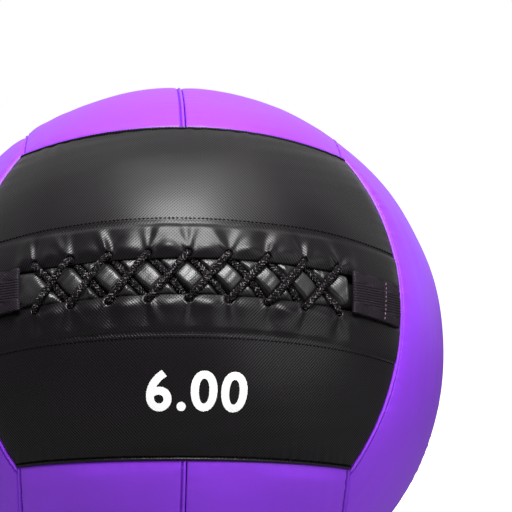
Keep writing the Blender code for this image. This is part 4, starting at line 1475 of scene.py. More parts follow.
def make_pad(shape):
    """A foam pad behind a shell panel, with soft rounded edges."""
    inside = settings().inside
    radius = settings().shell.ball_radius
    front = shape.face == "front"
    offset = hem_offset(shape) + settings().lacing.hem_width + 0.0016 if front else 0.0
    width = radius * long_angle(shape, 0.0) - offset
    half = radius * side_angle(shape, 0.0)
    columns = pad_lines(half, -1, 44)
    rows = pad_lines(width, 0, 18)
    bm, is_inner = pad_mesh(len(columns), len(rows))
    column, row = grid_places(bm)
    u = columns[column]
    v = rows[row]
    directions = panel_direction(shape, u, v, offset)
    from_seam = np.minimum((1 - np.abs(u)) * half, np.minimum(v, 1 - v) * width)
    edge = from_seam - inside.pad_inset
    crown = np.sqrt(1 - np.clip(1 - edge / PAD_EDGE, 0, 1) ** 2)
    middle = (inside.pad_top + inside.pad_bottom) / 2
    half_depth = (inside.pad_bottom - inside.pad_top) / 2
    reach = half_depth * (0.45 + 0.55 * crown)
    draw = drawn_in(from_seam, 0.0, 0.001)
    height = -middle - draw * (1 - is_inner) + np.where(is_inner == 1, -reach, reach)
    height += 0.0002 * unevenness(directions * radius, 0.03, 200 + shape.seed)
    move_vertices(bm, placed(directions @ shape.turn.T, height))
    joined(bm, from_centre)
    bmesh.ops.recalc_face_normals(bm, faces=bm.faces)
    foam = finish("closed_cell_foam")
    piece = finish_piece(bm, shape.name + "_pad", foam, [shape.name + "_padding"])
    return piece


def liner_radius():
    """Outer radius of the liner, read from its packed gores."""
    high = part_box("liner_gore_right_front")[1]
    return min(high.x, settings().shell.ball_radius)


def make_liner(index, name):
    """A canvas gore of the liner, sewn to its neighbours and drawn smooth over the filling."""
    radius = liner_radius()
    seam = 0.0012
    cloth_thickness = 0.0007
    step = pi / 2
    start = (index - 1) * step
    columns = np.linspace(start + seam, start + step - seam, 33)
    rows = np.linspace(-LINER_REACH, LINER_REACH, 65)
    bm = sheet_mesh(len(columns), len(rows))
    column, row = grid_places(bm)
    longitude = columns[column]
    latitude = rows[row]
    level = np.cos(latitude)
    directions = np.stack((level * np.cos(longitude), level * np.sin(longitude), np.sin(latitude)), axis=-1)
    from_seam = radius * level * (step / 2 - np.abs(longitude - start - step / 2))
    relief = 0.0003 * waves(latitude * radius, 0.012, 500 + index) * np.exp(-from_seam / 0.012)
    relief -= 0.0008 * np.exp(-from_seam / 0.003) + 0.0004
    height = radius - 0.0006 - settings().shell.ball_radius + relief
    write_layer(bm, "cloth", np.stack((longitude * radius * level, latitude * radius, 0 * level), axis=-1))
    move_vertices(bm, placed(directions, height))
    joined(bm, from_centre)
    piece = finish_piece(bm, "liner_" + name, finish("plain_canvas"), ["liner_gore_" + name])
    give_wall(piece, cloth_thickness)
    return piece


def turned_body(profile, steps):
    """A bmesh turned about Z from radius and height pairs."""
    bm = bmesh.new()
    vertices = [bm.verts.new((radius, 0, height)) for radius, height in profile]
    edges = [bm.edges.new(pair) for pair in zip(vertices, vertices[1:])]
    bmesh.ops.spin(
        bm, geom=vertices + edges, cent=(0, 0, 0), axis=(0, 0, 1), angle=2 * pi, steps=steps, use_merge=True
    )
    bmesh.ops.remove_doubles(bm, verts=bm.verts, dist=MERGE)
    bmesh.ops.recalc_face_normals(bm, faces=bm.faces)
    return bm


def arc(radius, start, end, steps):
    """Radius and height pairs along an arc, by angle above the equator."""
    angles = np.linspace(start, end, steps + 1)
    return [(max(radius * cos(angle), 0.0), radius * sin(angle)) for angle in angles]


def filling_profile(outer, hollow, hand):
    """Radius and height pairs of one half of the filling, with its share of the hollow for the bag."""
    gap = 0.0004
    profile = arc(outer, 0.003, pi / 2, 40)[::-1] + [(outer, gap)]
    profile += [(outer - (outer - hollow) * part, gap) for part in np.linspace(0.03, 0.97, 26)]
    pocket = arc(hollow, 0.0, radians(52), 16) if hand > 0 else arc(hollow, 0.0, pi / 2, 24)
    profile += [(radius, max(height, gap)) for radius, height in pocket]
    if hand > 0:
        ceiling = 0.074
        neck, shoulder = pocket[-1]
        profile += [(neck, height) for height in np.linspace(shoulder, ceiling, 8)[1:]]
        profile += [(neck * part, ceiling) for part in np.linspace(1, 0, 8)[1:]]
    return [(radius, hand * height) for radius, height in profile]


def make_filling(name, hand):
    """One half of the textile filling, lumpy, with the hollow for the ballast bag."""
    skin_depth = 0.004
    outer = liner_radius() - 0.0026
    hollow = settings().inside.ballast_radius + 0.0015
    bm = turned_body(filling_profile(outer, hollow, hand), 96)
    points = np.array([vertex.co for vertex in bm.verts])
    distance = np.linalg.norm(points, axis=1)
    directions = points / np.maximum(distance, 1e-6)[:, None]
    lumps = unevenness(points, 0.020, 601) * 0.0004 + unevenness(points, 0.007, 602) * 0.0002
    lumps *= smooth_step((np.abs(points[:, 2]) - 0.001) / 0.004)
    points += directions * np.where(distance > outer - skin_depth, lumps - 0.0004, np.abs(lumps))[:, None]
    deep = distance > outer * 0.9
    row_points = to_row(points)
    pressed = rest(row_points, settings().shell.ball_radius - distance)
    move_vertices(bm, np.where(deep[:, None], pressed, row_points))
    face_out(bm)
    piece = finish_piece(bm, name + "_wadding", finish("packed_fibre"), [name])
    return piece


def sack_neck():
    """The ballast bag's neck: its radius, its foot, its waist under the cord, its top and its rim."""
    radius = settings().inside.ballast_radius
    base = radius * sin(SHOULDER)
    top = base + 0.012
    return radius * cos(SHOULDER), base, base + 0.006, top, top + 0.012


def make_sack():
    """The ballast bag with its gathered neck."""
    radius = settings().inside.ballast_radius
    rim_radius = 0.0195
    waist_depth = 0.0012
    cloth_thickness = 0.0008
    neck, base, waist, top, rim = sack_neck()
    profile = arc(radius, -pi / 2, SHOULDER, 30)
    for height in np.linspace(base, top, 9)[1:]:
        profile.append((neck - waist_depth * bell(height, waist, 0.003), height))
    for part in np.linspace(0, 1, 8)[1:]:
        profile.append((neck + (rim_radius - neck) * part**1.4, top + (rim - top) * part))
    bm = turned_body(profile, 96)
    points = np.array([vertex.co for vertex in bm.verts])
    turn = np.arctan2(points[:, 1], points[:, 0])
    flat = np.hypot(points[:, 0], points[:, 1])
    gather = smooth_step((points[:, 2] - radius * 0.55) / (radius * 0.5))
    pleats = 0.035 * np.sin(17 * turn + 0.6 * np.sin(3 * turn)) * gather
    pleats += 0.02 * np.sin(11 * turn + 1.3) * gather
    sag = -0.0006 * (1 + unevenness(points, 0.03, 702)) * (flat > 0)
    grown = flat * (1 - 0.055 * gather + pleats) + sag * (points[:, 2] < base)
    points[:, 0] = np.maximum(grown, 0) * np.cos(turn)
    points[:, 1] = np.maximum(grown, 0) * np.sin(turn)
    write_layer(bm, "cloth", np.stack((turn * radius, points[:, 2], 0 * turn), axis=-1))
    move_vertices(bm, to_row(points))
    face_out(bm)
    bag = finish_piece(bm, "ballast_sack", finish("plain_canvas"), ["ballast_bag"])
    return give_wall(bag, cloth_thickness)


def make_tie():
    """The braided cord wound round the ballast bag's neck."""
    neck, _, waist, _, _ = sack_neck()
    turns = 2.6
    climb = 0.0052
    cord = 0.0021
    lay = 0.008
    share_of_run = np.linspace(0, 1, 150)
    turn = turns * 2 * pi * share_of_run
    ring = neck + 0.0008 + settings().inside.tie_diameter / 2
    rise = waist + (share_of_run - 0.5) * climb
    spiral = np.stack((ring * np.cos(turn), ring * np.sin(turn), rise), axis=-1)
    line = to_row(smooth_line(spiral, 0.0009))
    braid = make_braid(line, cord, lay, 4, np.ones(len(line)))
    bm = braid_mesh(line, braid, (0.0004, 0.0008, 5), (0.0014, 0.0014, 8))
    return finish_piece(bm, "neck_tie", finish("braided_cord"), ["ballast_tie"])


def make_grit():
    """The iron grit: a heap that fills the bag up to its shoulder, grainy on top."""
    inner = settings().inside.ballast_radius - 0.0022
    fill_level = radians(36)
    rise = 0.0015
    heap = arc(inner, -pi / 2, fill_level, 26)
    reach, top = heap[-1]
    heap += [(reach * (1 - part), top + rise * part) for part in np.linspace(0, 1, 15)[1:]]
    bm = turned_body(heap, 72)
    points = np.array([vertex.co for vertex in bm.verts])
    grains = 0.00035 * unevenness(points, 0.0045, 801)
    points[:, 2] += np.where(points[:, 2] > top - 0.001, grains, 0.0)
    move_vertices(bm, to_row(points))
    face_out(bm)
    return finish_piece(bm, "grit_heap", finish("iron_grit"), ["ballast_grit"])


# Materials


def feed(tree, made, inputs):
    """Give a node's inputs their constants, or the sockets that feed them."""
    for name, value in inputs.items():
        if isinstance(value, bpy.types.NodeSocket):
            tree.links.new(value, made.inputs[name])
        else:
            made.inputs[name].default_value = value
    return made


def add_node(tree, kind, inputs=None, **values):
    """Add a node; inputs are constants or the sockets that feed it."""
    made = tree.nodes.new(kind)
    for name, value in values.items():
        setattr(made, name, value)
    return feed(tree, made, inputs or {})


def maths(tree, operation, *values):
    """The result of a maths node."""
    return add_node(tree, "ShaderNodeMath", dict(enumerate(values)), operation=operation).outputs[0]


def scaled(tree, value, factor, start=0.0):
    """A value times a factor, counted from a start."""
    return maths(tree, "MULTIPLY_ADD", value, factor, start)


def parts(tree, vector):
    """The coordinates of a vector."""
    return add_node(tree, "ShaderNodeSeparateXYZ", {"Vector": vector}).outputs


def noise(tree, vector, scale, detail, roughness=0.5):
    """The value of a noise texture."""
    inputs = {"Vector": vector, "Scale": scale, "Detail": detail, "Roughness": roughness}
    return add_node(tree, "ShaderNodeTexNoise", inputs).outputs["Fac"]


def mixed(tree, factor, first, second, blend_type="MIX"):
    """The colour between a first and a second colour."""
    inputs = {"Factor": factor, 6: first, 7: second}
    return add_node(tree, "ShaderNodeMix", inputs, data_type="RGBA", blend_type=blend_type).outputs[2]


def bump(tree, height, distance, normal=None):
    """A bump of a real height, over an earlier one if given."""
    inputs = {"Height": height, "Distance": distance, "Strength": 1.0}
    if normal is not None:
        inputs["Normal"] = normal
    return add_node(tree, "ShaderNodeBump", inputs).outputs["Normal"]


def attribute(tree, name):
    """A vector kept on the piece under a name."""
    return add_node(tree, "ShaderNodeAttribute", attribute_name=name).outputs["Vector"]


def object_place(tree):
    """Place on the piece, in metres."""
    return tree.nodes.new("ShaderNodeTexCoord").outputs["Object"]


def groove_lines(tree, coordinate, pitch, sharpness):
    """Parallel rounded lines of height one, one pitch apart."""
    wave = maths(tree, "COSINE", scaled(tree, maths(tree, "DIVIDE", coordinate, pitch), 2 * pi))
    return maths(tree, "POWER", scaled(tree, wave, 0.5, 0.5), sharpness)


def hump(tree, value, middle, width):
    """A rounded hump of height one about a middle."""
    away = maths(tree, "DIVIDE", maths(tree, "SUBTRACT", value, middle), width)
    return maths(tree, "EXPONENT", scaled(tree, maths(tree, "MULTIPLY", away, away), -1.0))


# Shared effects: each gives what its node group puts out, from what the group is given


def diagonal_emboss(tree, given):
    """Fine diagonal emboss of coated fabric: two sets of lines that cross, each stronger on one side."""
    place = parts(tree, given["Vector"])
    wobble = scaled(tree, noise(tree, given["Vector"], 60.0, 2.0), 0.0008, -0.0004)
    pitch = scaled(tree, given["Pitch"], sqrt(2))
    reach = {"Value": place["X"], "From Min": -0.04, "From Max": 0.04}
    side = add_node(tree, "ShaderNodeMapRange", reach).outputs["Result"]
    sets = []
    for operation, growth, start in (("ADD", 0.75, 0.25), ("SUBTRACT", -0.75, 1.0)):
        coordinate = maths(tree, "ADD", maths(tree, operation, place["X"], place["Y"]), wobble)
        lines = groove_lines(tree, coordinate, pitch, 1.6)
        sets.append(maths(tree, "MULTIPLY", lines, scaled(tree, side, growth, start)))
    return {"Height": maths(tree, "MAXIMUM", *sets)}


def leather_grain(tree, given):
    """Leather grain: small irregular pebbles with fine creases between them."""
    inputs = {"Vector": given["Vector"], "Scale": given["Scale"], "Randomness": 0.9}
    cells = add_node(tree, "ShaderNodeTexVoronoi", inputs, feature="SMOOTH_F1")
    fine = noise(tree, given["Vector"], scaled(tree, given["Scale"], 2.6), 3.0)
    pebbles = maths(tree, "SUBTRACT", 1.0, cells.outputs["Distance"])
    return {"Height": scaled(tree, fine, 0.4, pebbles), "Pores": maths(tree, "GREATER_THAN", fine, 0.66)}


def soft_variation(tree, given):
    """Soft uneven colour, as on a dyed or handled surface."""
    mask = noise(tree, given["Vector"], given["Scale"], 5.0, 0.6)
    value = scaled(tree, scaled(tree, mask, 2.0, -1.0), given["Amount"], 1.0)
    tinted = add_node(tree, "ShaderNodeHueSaturation", {"Value": value, "Color": given["Color"]})
    return {"Color": tinted.outputs["Color"], "Mask": mask}


def needle_holes(tree, given):
    """Needle holes along a topstitch row, a mask for painted shade along the row, and rubbing on the fold
    beside it that also stands as a painted highlight.
    """
    place = parts(tree, given["Stitch"])
    # The row mask darkens the colour as painted shade in the groove that the thread pulls.
    row = hump(tree, place["Y"], given["Inset"], 0.0006)
    holes = maths(tree, "MULTIPLY", row, groove_lines(tree, place["X"], given["Pitch"], 2.0))
    # The fold mask pales the colour on the raised fold: partly rubbing, partly a painted highlight.
    fold = hump(tree, place["Y"], scaled(tree, given["Inset"], 0.5), 0.0007)
    rub_and_highlight = maths(tree, "MULTIPLY", fold, noise(tree, given["Stitch"], 220.0, 3.0))
    return {"Height": maths(tree, "SUBTRACT", 1.0, holes), "Shade": row, "Rub_and_highlight": rub_and_highlight}


def plain_weave(tree, given):
    """Woven threads: warp and weft that pass over and under each other."""
    place = parts(tree, given["Vector"])
    warp = scaled(tree, maths(tree, "DIVIDE", place["X"], given["Warp pitch"]), pi)
    weft = scaled(tree, maths(tree, "DIVIDE", place["Y"], given["Weft pitch"]), pi)
    crossings = []
    for first, second in (("SINE", "COSINE"), ("COSINE", "SINE")):
        crossing = maths(tree, "MULTIPLY", maths(tree, first, warp), maths(tree, second, weft))
        crossings.append(maths(tree, "ABSOLUTE", crossing))
    height = maths(tree, "MAXIMUM", *crossings)
    # Gaps: the low places between threads, which the materials darken as painted shade.
    return {"Height": height, "Gaps": maths(tree, "LESS_THAN", height, 0.25)}


def fine_fibres(tree, given):
    """Fine fibres that run along a thread, with some paler flecks."""
    streaks = noise(tree, given["Vector"], given["Scale"], 3.0)
    spots = noise(tree, given["Vector"], 700.0, 2.0)
    limit = maths(tree, "SUBTRACT", 0.74, scaled(tree, given["Fleck share"], 0.3))
    mask = scaled(tree, maths(tree, "SUBTRACT", spots, limit), 6.0)
    mask = add_node(tree, "ShaderNodeClamp", {"Value": mask}).outputs["Result"]
    return {"Color": mixed(tree, mask, given["Color"], given["Fleck"]), "Height": streaks, "Flecks": mask}


SOCKET_KINDS = {type(None): "NodeSocketVector", tuple: "NodeSocketColor", float: "NodeSocketFloat"}
EFFECTS = {
    "Diagonal emboss": (diagonal_emboss, {"Vector": None, "Pitch": EMBOSS_PITCH}, ("Height",)),
    "Leather grain": (leather_grain, {"Vector": None, "Scale": 900.0}, ("Height", "Pores")),
    "Soft variation": (
        soft_variation,
        {"Vector": None, "Color": (0.5, 0.5, 0.5, 1), "Amount": 0.1, "Scale": 12.0},
        ("Color", "Mask"),
    ),
    "Needle holes": (
        needle_holes,
        {"Stitch": None, "Inset": 0.0027, "Pitch": 0.0026},
        ("Height", "Shade", "Rub_and_highlight"),
    ),
    "Plain weave": (
        plain_weave,
        {"Vector": None, "Warp pitch": 0.001, "Weft pitch": 0.001},
        ("Height", "Gaps"),
    ),
    "Fibres": (
        fine_fibres,
        {
            "Vector": None,
            "Color": (0.01, 0.01, 0.01, 1),
            "Fleck": (0.2, 0.2, 0.2, 1),
            "Fleck share": 0.3,
            "Scale": 1500.0,
        },
        ("Color", "Height", "Flecks"),
    ),
}


def new_group(name):
    """Make a shared node group: its named sockets, and what its effect puts between them."""
    effect, inputs, outputs = EFFECTS[name]
    tree = bpy.data.node_groups.new(name, "ShaderNodeTree")
    for socket, default in inputs.items():
        kind = SOCKET_KINDS[type(default)]
        made = tree.interface.new_socket(socket, in_out="INPUT", socket_type=kind)
        if default is not None:
            made.default_value = default
    for socket in outputs:
        kind = "NodeSocketColor" if socket == "Color" else "NodeSocketFloat"
        tree.interface.new_socket(socket, in_out="OUTPUT", socket_type=kind)
    given = tree.nodes.new("NodeGroupInput").outputs
    feed(tree, tree.nodes.new("NodeGroupOutput"), effect(tree, given))
    return tree


def use_group(tree, name, inputs):
    """Place a shared node group, made when it is first asked for, and give its outputs."""
    group = bpy.data.node_groups.get(name) or new_group(name)
    return add_node(tree, "ShaderNodeGroup", inputs, node_tree=group).outputs


def mottled(tree, tint, amount, scale):
    """Soft uneven colour over a piece."""
    inputs = {"Vector": object_place(tree), "Color": tint, "Amount": amount, "Scale": scale}
    return use_group(tree, "Soft variation", inputs)


def paint(name):
    """One of the user's colours, without transparency."""
    return (*getattr(settings().colours, name), 1)


def paler(tint, factor, start):
    """A colour raised by a factor from a start, at most white."""
    return (*(min(1.0, factor * value + start) for value in tint[:3]), 1)


# Finishes: each gives the inputs of its material's shader


def worn_and_shaded_colour(tree, tint, holes):
    """Coated fabric's colour: painted shade along its stitch rows, and paler on the fold beside them,
    partly rubbed and partly a painted highlight.
    """
    shade = (0.25, 0.2, 0.3, 1)
    base = mottled(tree, tint, 0.16, 14.0)
    # Painted shade: the colour is darkened along the stitch row, in its groove.
    shaded = mixed(tree, scaled(tree, holes["Shade"], 0.55), base["Color"], shade, "MULTIPLY")
    # Paler on the fold: partly rubbing, partly a painted highlight on the raised edge.
    worn = mixed(tree, scaled(tree, holes["Rub_and_highlight"], 0.12), shaded, paler(tint, 2.0, 0.03), "ADD")
    return worn, base["Mask"]


def coated_fabric(tree, coating):
    """Coated fabric: emboss or grain, soft colour variation, needle holes, painted shade along the stitch
    rows, and rubbed folds with a painted highlight.
    """
    shell = settings().shell
    inputs = {"Vector": attribute(tree, "emboss"), "Pitch": EMBOSS_PITCH}
    emboss = use_group(tree, "Diagonal emboss", inputs)["Height"]
    grain = use_group(tree, "Leather grain", {"Vector": object_place(tree), "Scale": 1100.0})
    inputs = {"Stitch": attribute(tree, "stitch"), "Inset": shell.stitch_inset, "Pitch": shell.stitch_pitch}
    holes = use_group(tree, "Needle holes", inputs)
    # This colour holds the painted shade along the stitch rows and the rubbed, partly painted highlight on
    # the folds.
    worn, mask = worn_and_shaded_colour(tree, paint(coating.paint), holes)
    roughness = scaled(tree, mask, 0.16, coating.roughness - 0.08)
    roughness = scaled(tree, emboss, -0.05, roughness)
    roughness = scaled(tree, holes["Shade"], 0.35, roughness)
    normal = bump(tree, grain["Height"], coating.grain_height, bump(tree, emboss, coating.emboss_height))
    return {
        "Base Color": worn,
        "Roughness": scaled(tree, grain["Pores"], 0.08, roughness),
        "Normal": bump(tree, holes["Height"], 0.00035, normal),
        "Coat Weight": scaled(tree, emboss, coating.coat),
        "Coat Roughness": coating.roughness,
        "Specular IOR Level": coating.gloss,
    }


def sewing_thread(tree, tint, fleck_share):
    """Twisted sewing thread."""
    tint = paint(tint)
    inputs = {"Vector": object_place(tree), "Color": tint, "Fleck": paler(tint, 3.0, 0.02)}
    fibres = use_group(tree, "Fibres", {**inputs, "Fleck share": fleck_share, "Scale": 3500.0})
    return {
        "Base Color": fibres["Color"],
        "Roughness": scaled(tree, fibres["Height"], 0.3, 0.45),
        "Normal": bump(tree, fibres["Height"], 0.00006),
        "Specular IOR Level": 0.05,
    }


def braided_cord(tree):
    """Braided cord: fibres along each strand, with paler flecks kept to the strands' crowns, where they
    also stand as a painted highlight.
    """
    inputs = {"Vector": object_place(tree), "Color": paint("lace"), "Fleck share": 0.9, "Scale": 1100.0}
    fibres = use_group(tree, "Fibres", inputs)
    turn = parts(tree, attribute(tree, "strand"))["Y"]
    # Crown: the outward face of each strand. Pale flecks are kept to it: partly the cord's own pale fibres,
    # partly a painted highlight.
    crown = maths(tree, "POWER", maths(tree, "MAXIMUM", maths(tree, "COSINE", turn), 0.0), 5.0)
    flecks = maths(tree, "MULTIPLY", crown, fibres["Flecks"])
    inputs = {"Vector": attribute(tree, "strand"), "Scale": (900.0, 2.4, 1.0)}
    strand = add_node(tree, "ShaderNodeMapping", inputs).outputs["Vector"]
    twist = add_node(tree, "ShaderNodeTexWave", {"Vector": strand, "Scale": 1.0, "Distortion": 1.5})
    return {
        "Base Color": mixed(tree, flecks, paint("lace"), paint("fleck")),
        "Roughness": scaled(tree, fibres["Height"], 0.25, 0.42),
        "Normal": bump(tree, fibres["Height"], 0.00007, bump(tree, twist.outputs["Fac"], 0.00008)),
        "Specular IOR Level": 0.09,
    }


def ribbed_webbing(tree):
    """Ribbed webbing: ribs across the strip, woven threads along it, with painted shade in the gaps between
    them.
    """
    pitches = {"Warp pitch": 0.0019, "Weft pitch": settings().tabs.rib_pitch}
    weave = use_group(tree, "Plain weave", {"Vector": attribute(tree, "strip"), **pitches})
    inputs = {"Vector": object_place(tree), "Color": paint("webbing"), "Fleck": paint("fleck")}
    fibres = use_group(tree, "Fibres", {**inputs, "Fleck share": 0.10, "Scale": 2200.0})
    return {
        # Painted shade: the gaps between the woven threads are darkened.
        "Base Color": mixed(tree, weave["Gaps"], fibres["Color"], (0.25, 0.25, 0.25, 1), "MULTIPLY"),
        "Roughness": scaled(tree, fibres["Height"], 0.2, 0.5),
        "Normal": bump(tree, fibres["Height"], 0.00006, bump(tree, weave["Height"], 0.00030)),
        "Specular IOR Level": 0.22,
    }


def screen_print(tree):
    """White screen print, a little worn."""
    ink = mottled(tree, paint("ink"), 0.05, 90.0)
    inputs = {"Vector": attribute(tree, "print"), "Pitch": EMBOSS_PITCH}
    emboss = use_group(tree, "Diagonal emboss", inputs)["Height"]
    return {
        "Base Color": ink["Color"],
        "Roughness": scaled(tree, ink["Mask"], 0.2, 0.45),
        "Normal": bump(tree, emboss, 0.00003),
    }


def closed_cell_foam(tree):
    """Closed-cell foam: small cells all over."""
    grain = use_group(tree, "Leather grain", {"Vector": object_place(tree), "Scale": 650.0})
    return {
        "Base Color": mottled(tree, paint("foam"), 0.12, 60.0)["Color"],
        "Roughness": scaled(tree, grain["Pores"], 0.1, 0.82),
        "Normal": bump(tree, grain["Height"], 0.0003),
    }


def plain_canvas(tree):
    """Plain canvas, with painted shade between its threads."""
    mottle = mottled(tree, paint("canvas"), 0.14, 45.0)
    inputs = {"Vector": attribute(tree, "cloth"), "Warp pitch": 0.0009, "Weft pitch": 0.0009}
    weave = use_group(tree, "Plain weave", inputs)
    return {
        # Painted shade: the gaps between the threads are darkened.
        "Base Color": mixed(tree, weave["Gaps"], mottle["Color"], (0.55, 0.5, 0.42, 1), "MULTIPLY"),
        "Roughness": scaled(tree, mottle["Mask"], 0.1, 0.85),
        "Normal": bump(tree, weave["Height"], 0.0003),
    }


def packed_fibre(tree):
    """Packed textile fibre in several greys."""
    inputs = {"Vector": object_place(tree), "Color": paint("wadding"), "Fleck": (0.62, 0.6, 0.58, 1)}
    fibres = use_group(tree, "Fibres", {**inputs, "Fleck share": 0.8, "Scale": 500.0})
    mottle = mottled(tree, fibres["Color"], 0.25, 80.0)
    return {
        "Base Color": mottle["Color"],
        "Roughness": scaled(tree, mottle["Mask"], 0.1, 0.88),
        "Normal": bump(tree, fibres["Height"], 0.0012),
        "Sheen Weight": 0.4,
    }


def iron_grit(tree):
    """Iron grit: dark grains with rusty ones among them."""
    grains = add_node(tree, "ShaderNodeTexVoronoi", {"Vector": object_place(tree), "Scale": 520.0})
    red = add_node(tree, "ShaderNodeSeparateColor", {"Color": grains.outputs["Color"]}).outputs[0]
    rusty = maths(tree, "GREATER_THAN", red, 0.78)
    return {
        "Base Color": mixed(tree, rusty, paint("grit"), (0.17, 0.075, 0.04, 1)),
        "Roughness": scaled(tree, red, 0.3, 0.4),
        "Normal": bump(tree, maths(tree, "SUBTRACT", 1.0, grains.outputs["Distance"]), 0.0012),
        "Metallic": 0.6,
    }


def studio_floor(tree):
    """Matt pale studio floor, that throws less light back on the ball than it shows."""
    path = tree.nodes.new("ShaderNodeLightPath").outputs
    thrown = mixed(tree, path["Is Glossy Ray"], (0.38, 0.38, 0.38, 1), (0.16, 0.16, 0.16, 1))
    shown = mottled(tree, paint("floor"), 0.02, 3.0)["Color"]
    return {
        "Base Color": mixed(tree, path["Is Camera Ray"], thrown, shown),
        "Roughness": 0.8,
        "Specular IOR Level": 0.1,
        "Emission Color": (1, 1, 1, 1),
        "Emission Strength": scaled(tree, path["Is Camera Ray"], 0.6),
    }


Coating = namedtuple("Coating", "paint roughness emboss_height grain_height coat gloss")
FINISHES = {
    "black_coated_fabric": (coated_fabric, Coating("black", 0.35, 0.00012, 0.00002, 0.85, 0.09)),
    "glossy_coated_fabric": (coated_fabric, Coating("black", 0.43, 0.00011, 0.00002, 1.0, 0.62)),
    "purple_coated_fabric": (coated_fabric, Coating("purple", 0.46, 0.000012, 0.00003, 0.0, 0.42)),
    "black_sewing_thread": (sewing_thread, "thread", 0.2),
    "purple_sewing_thread": (sewing_thread, "purple_thread", 0.2),
    "pale_sewing_thread": (sewing_thread, "tab_thread", 0.5),
    "braided_cord": (braided_cord,),
    "ribbed_webbing": (ribbed_webbing,),
    "screen_print": (screen_print,),
    "closed_cell_foam": (closed_cell_foam,),
    "plain_canvas": (plain_canvas,),
    "packed_fibre": (packed_fibre,),
    "iron_grit": (iron_grit,),
    "studio_floor": (studio_floor,),
}


def finish(name):
    """The material of a finish, made when it is first asked for."""
    found = bpy.data.materials.get(name)
    if found:
        return found
    surface, *values = FINISHES[name]
    material = bpy.data.materials.new(name)
    material.use_nodes = True
    tree = material.node_tree
    feed(tree, tree.nodes["Principled BSDF"], surface(tree, *values))
    return material


# Studio


def make_camera():
    """A camera at the photograph's viewing angle."""
    studio = settings().studio
    shell = settings().shell
    centre = Vector((0, 0, shell.ball_radius - shell.rest_flattening))
    level = cos(studio.elevation)
    back = Vector((sin(studio.azimuth) * level, -cos(studio.azimuth) * level, sin(studio.elevation)))
    right = Vector((0, 0, 1)).cross(back).normalized()
    up = back.cross(right)
    rolled_up = up * cos(studio.roll) - right * sin(studio.roll)
    rolled_right = rolled_up.cross(back)
    aim = centre + rolled_right * studio.aim_right + rolled_up * studio.aim_up
    place = centre + back * studio.distance
    ahead = (aim - place).normalized()
    side = (rolled_right - ahead * rolled_right.dot(ahead)).normalized()
    data = bpy.data.cameras.new("camera")
    data.lens = studio.lens
    data.sensor_width = 36
    data.clip_end = 100
    camera = bpy.data.objects.new("camera", data)
    bpy.context.scene.collection.objects.link(camera)
    turn = Matrix((side, side.cross(ahead), -ahead)).transposed().to_4x4()
    camera.matrix_world = Matrix.Translation(place) @ turn
    bpy.context.scene.camera = camera


def make_light(name, place, size, power):
    """A soft light panel that looks at the ball."""
    data = bpy.data.lights.new(name, "AREA")
    data.shape = "RECTANGLE"
    data.size, data.size_y = size
    data.energy = power
    light = bpy.data.objects.new(name, data)
    bpy.context.scene.collection.objects.link(light)
    place = Vector(place)
    light.location = place
    light.rotation_euler = (LIGHT_AIM - place).to_track_quat("-Z", "Y").to_euler()


def make_floor():
    """A wide round floor that only stages the ball."""
    bm = bmesh.new()
    bmesh.ops.create_circle(bm, cap_ends=True, radius=30, segments=96)
    mesh = bpy.data.meshes.new("studio_floor")
    bm.to_mesh(mesh)
    bm.free()
    mesh.materials.append(finish("studio_floor"))
    floor = bpy.data.objects.new("studio_floor", mesh)
    bpy.context.scene.collection.objects.link(floor)


def make_lights():
    """The two soft light panels and the broad light from above."""
    studio = settings().studio
    make_light("key_light", (0.03, -0.84, 1.57), (0.62, 0.85), studio.key_power)
    make_light("fill_light", (1.6, -1.5, 0.6), (1.6, 1.6), studio.fill_power)
    sky = bpy.data.lights.new("sky_light", "SUN")
    sky.energy = studio.sky_power
    sky.angle = radians(80)
    bpy.context.scene.collection.objects.link(bpy.data.objects.new("sky_light", sky))


def make_world():
    """The even light: brighter from behind the ball, and plain white where the camera sees it."""
    studio = settings().studio
    bpy.context.scene.view_settings.view_transform = "Standard"
    world = bpy.data.worlds.new("studio_world")
    world.use_nodes = True
    tree = world.node_tree
    path = tree.nodes.new("ShaderNodeLightPath").outputs
    way = parts(tree, tree.nodes.new("ShaderNodeTexCoord").outputs["Generated"])
    reach = {"Value": way["Y"], "From Min": -0.3, "From Max": 0.7}
    strengths = {"To Min": studio.ambient, "To Max": studio.backdrop}
    shade = add_node(tree, "ShaderNodeMapRange", {**reach, **strengths}, interpolation_type="SMOOTHSTEP")
    strength = maths(tree, "MAXIMUM", shade.outputs["Result"], path["Is Camera Ray"])
    feed(tree, tree.nodes["Background"], {"Color": (1, 1, 1, 1), "Strength": strength})
    bpy.context.scene.world = world


# Operators


class WALLBALL_OT_stage(Operator):
    """Set up the camera, the lights and the floor"""

    bl_idname = "wallball.stage"
    bl_label = "Stage"
    bl_options = {"REGISTER", "UNDO"}

    def execute(self, context):
        """Make what the ball is looked at with."""
        make_camera()
        make_floor()
        make_lights()
        make_world()
        return {"FINISHED"}


class WALLBALL_OT_lace(Operator):
    """Braid the lace through its holes"""

    bl_idname = "wallball.lace"
    bl_label = "Lace"
    bl_options = {"REGISTER", "UNDO"}

    def execute(self, context):
        """Make the lace."""
        make_lace()
        return {"FINISHED"}


class WALLBALL_OT_shell(Operator):
    """Make the shell panels round the laced face"""

    bl_idname = "wallball.shell"
    bl_label = "Shell panels"
    bl_options = {"REGISTER", "UNDO"}

    def execute(self, context):
        """Make all panels but the front ones."""
        for shape in panel_shapes():
            if shape.face != "front":
                make_skin(shape)
        return {"FINISHED"}


class WALLBALL_OT_front(Operator):
    """Make the two front panels with their hems and lace holes"""

    bl_idname = "wallball.front"
    bl_label = "Front panels"
    bl_options = {"REGISTER", "UNDO"}

    def execute(self, context):
        """Make the two front panels."""
        for shape in panel_shapes():
            if shape.face == "front":
                make_front_skin(shape)
        return {"FINISHED"}


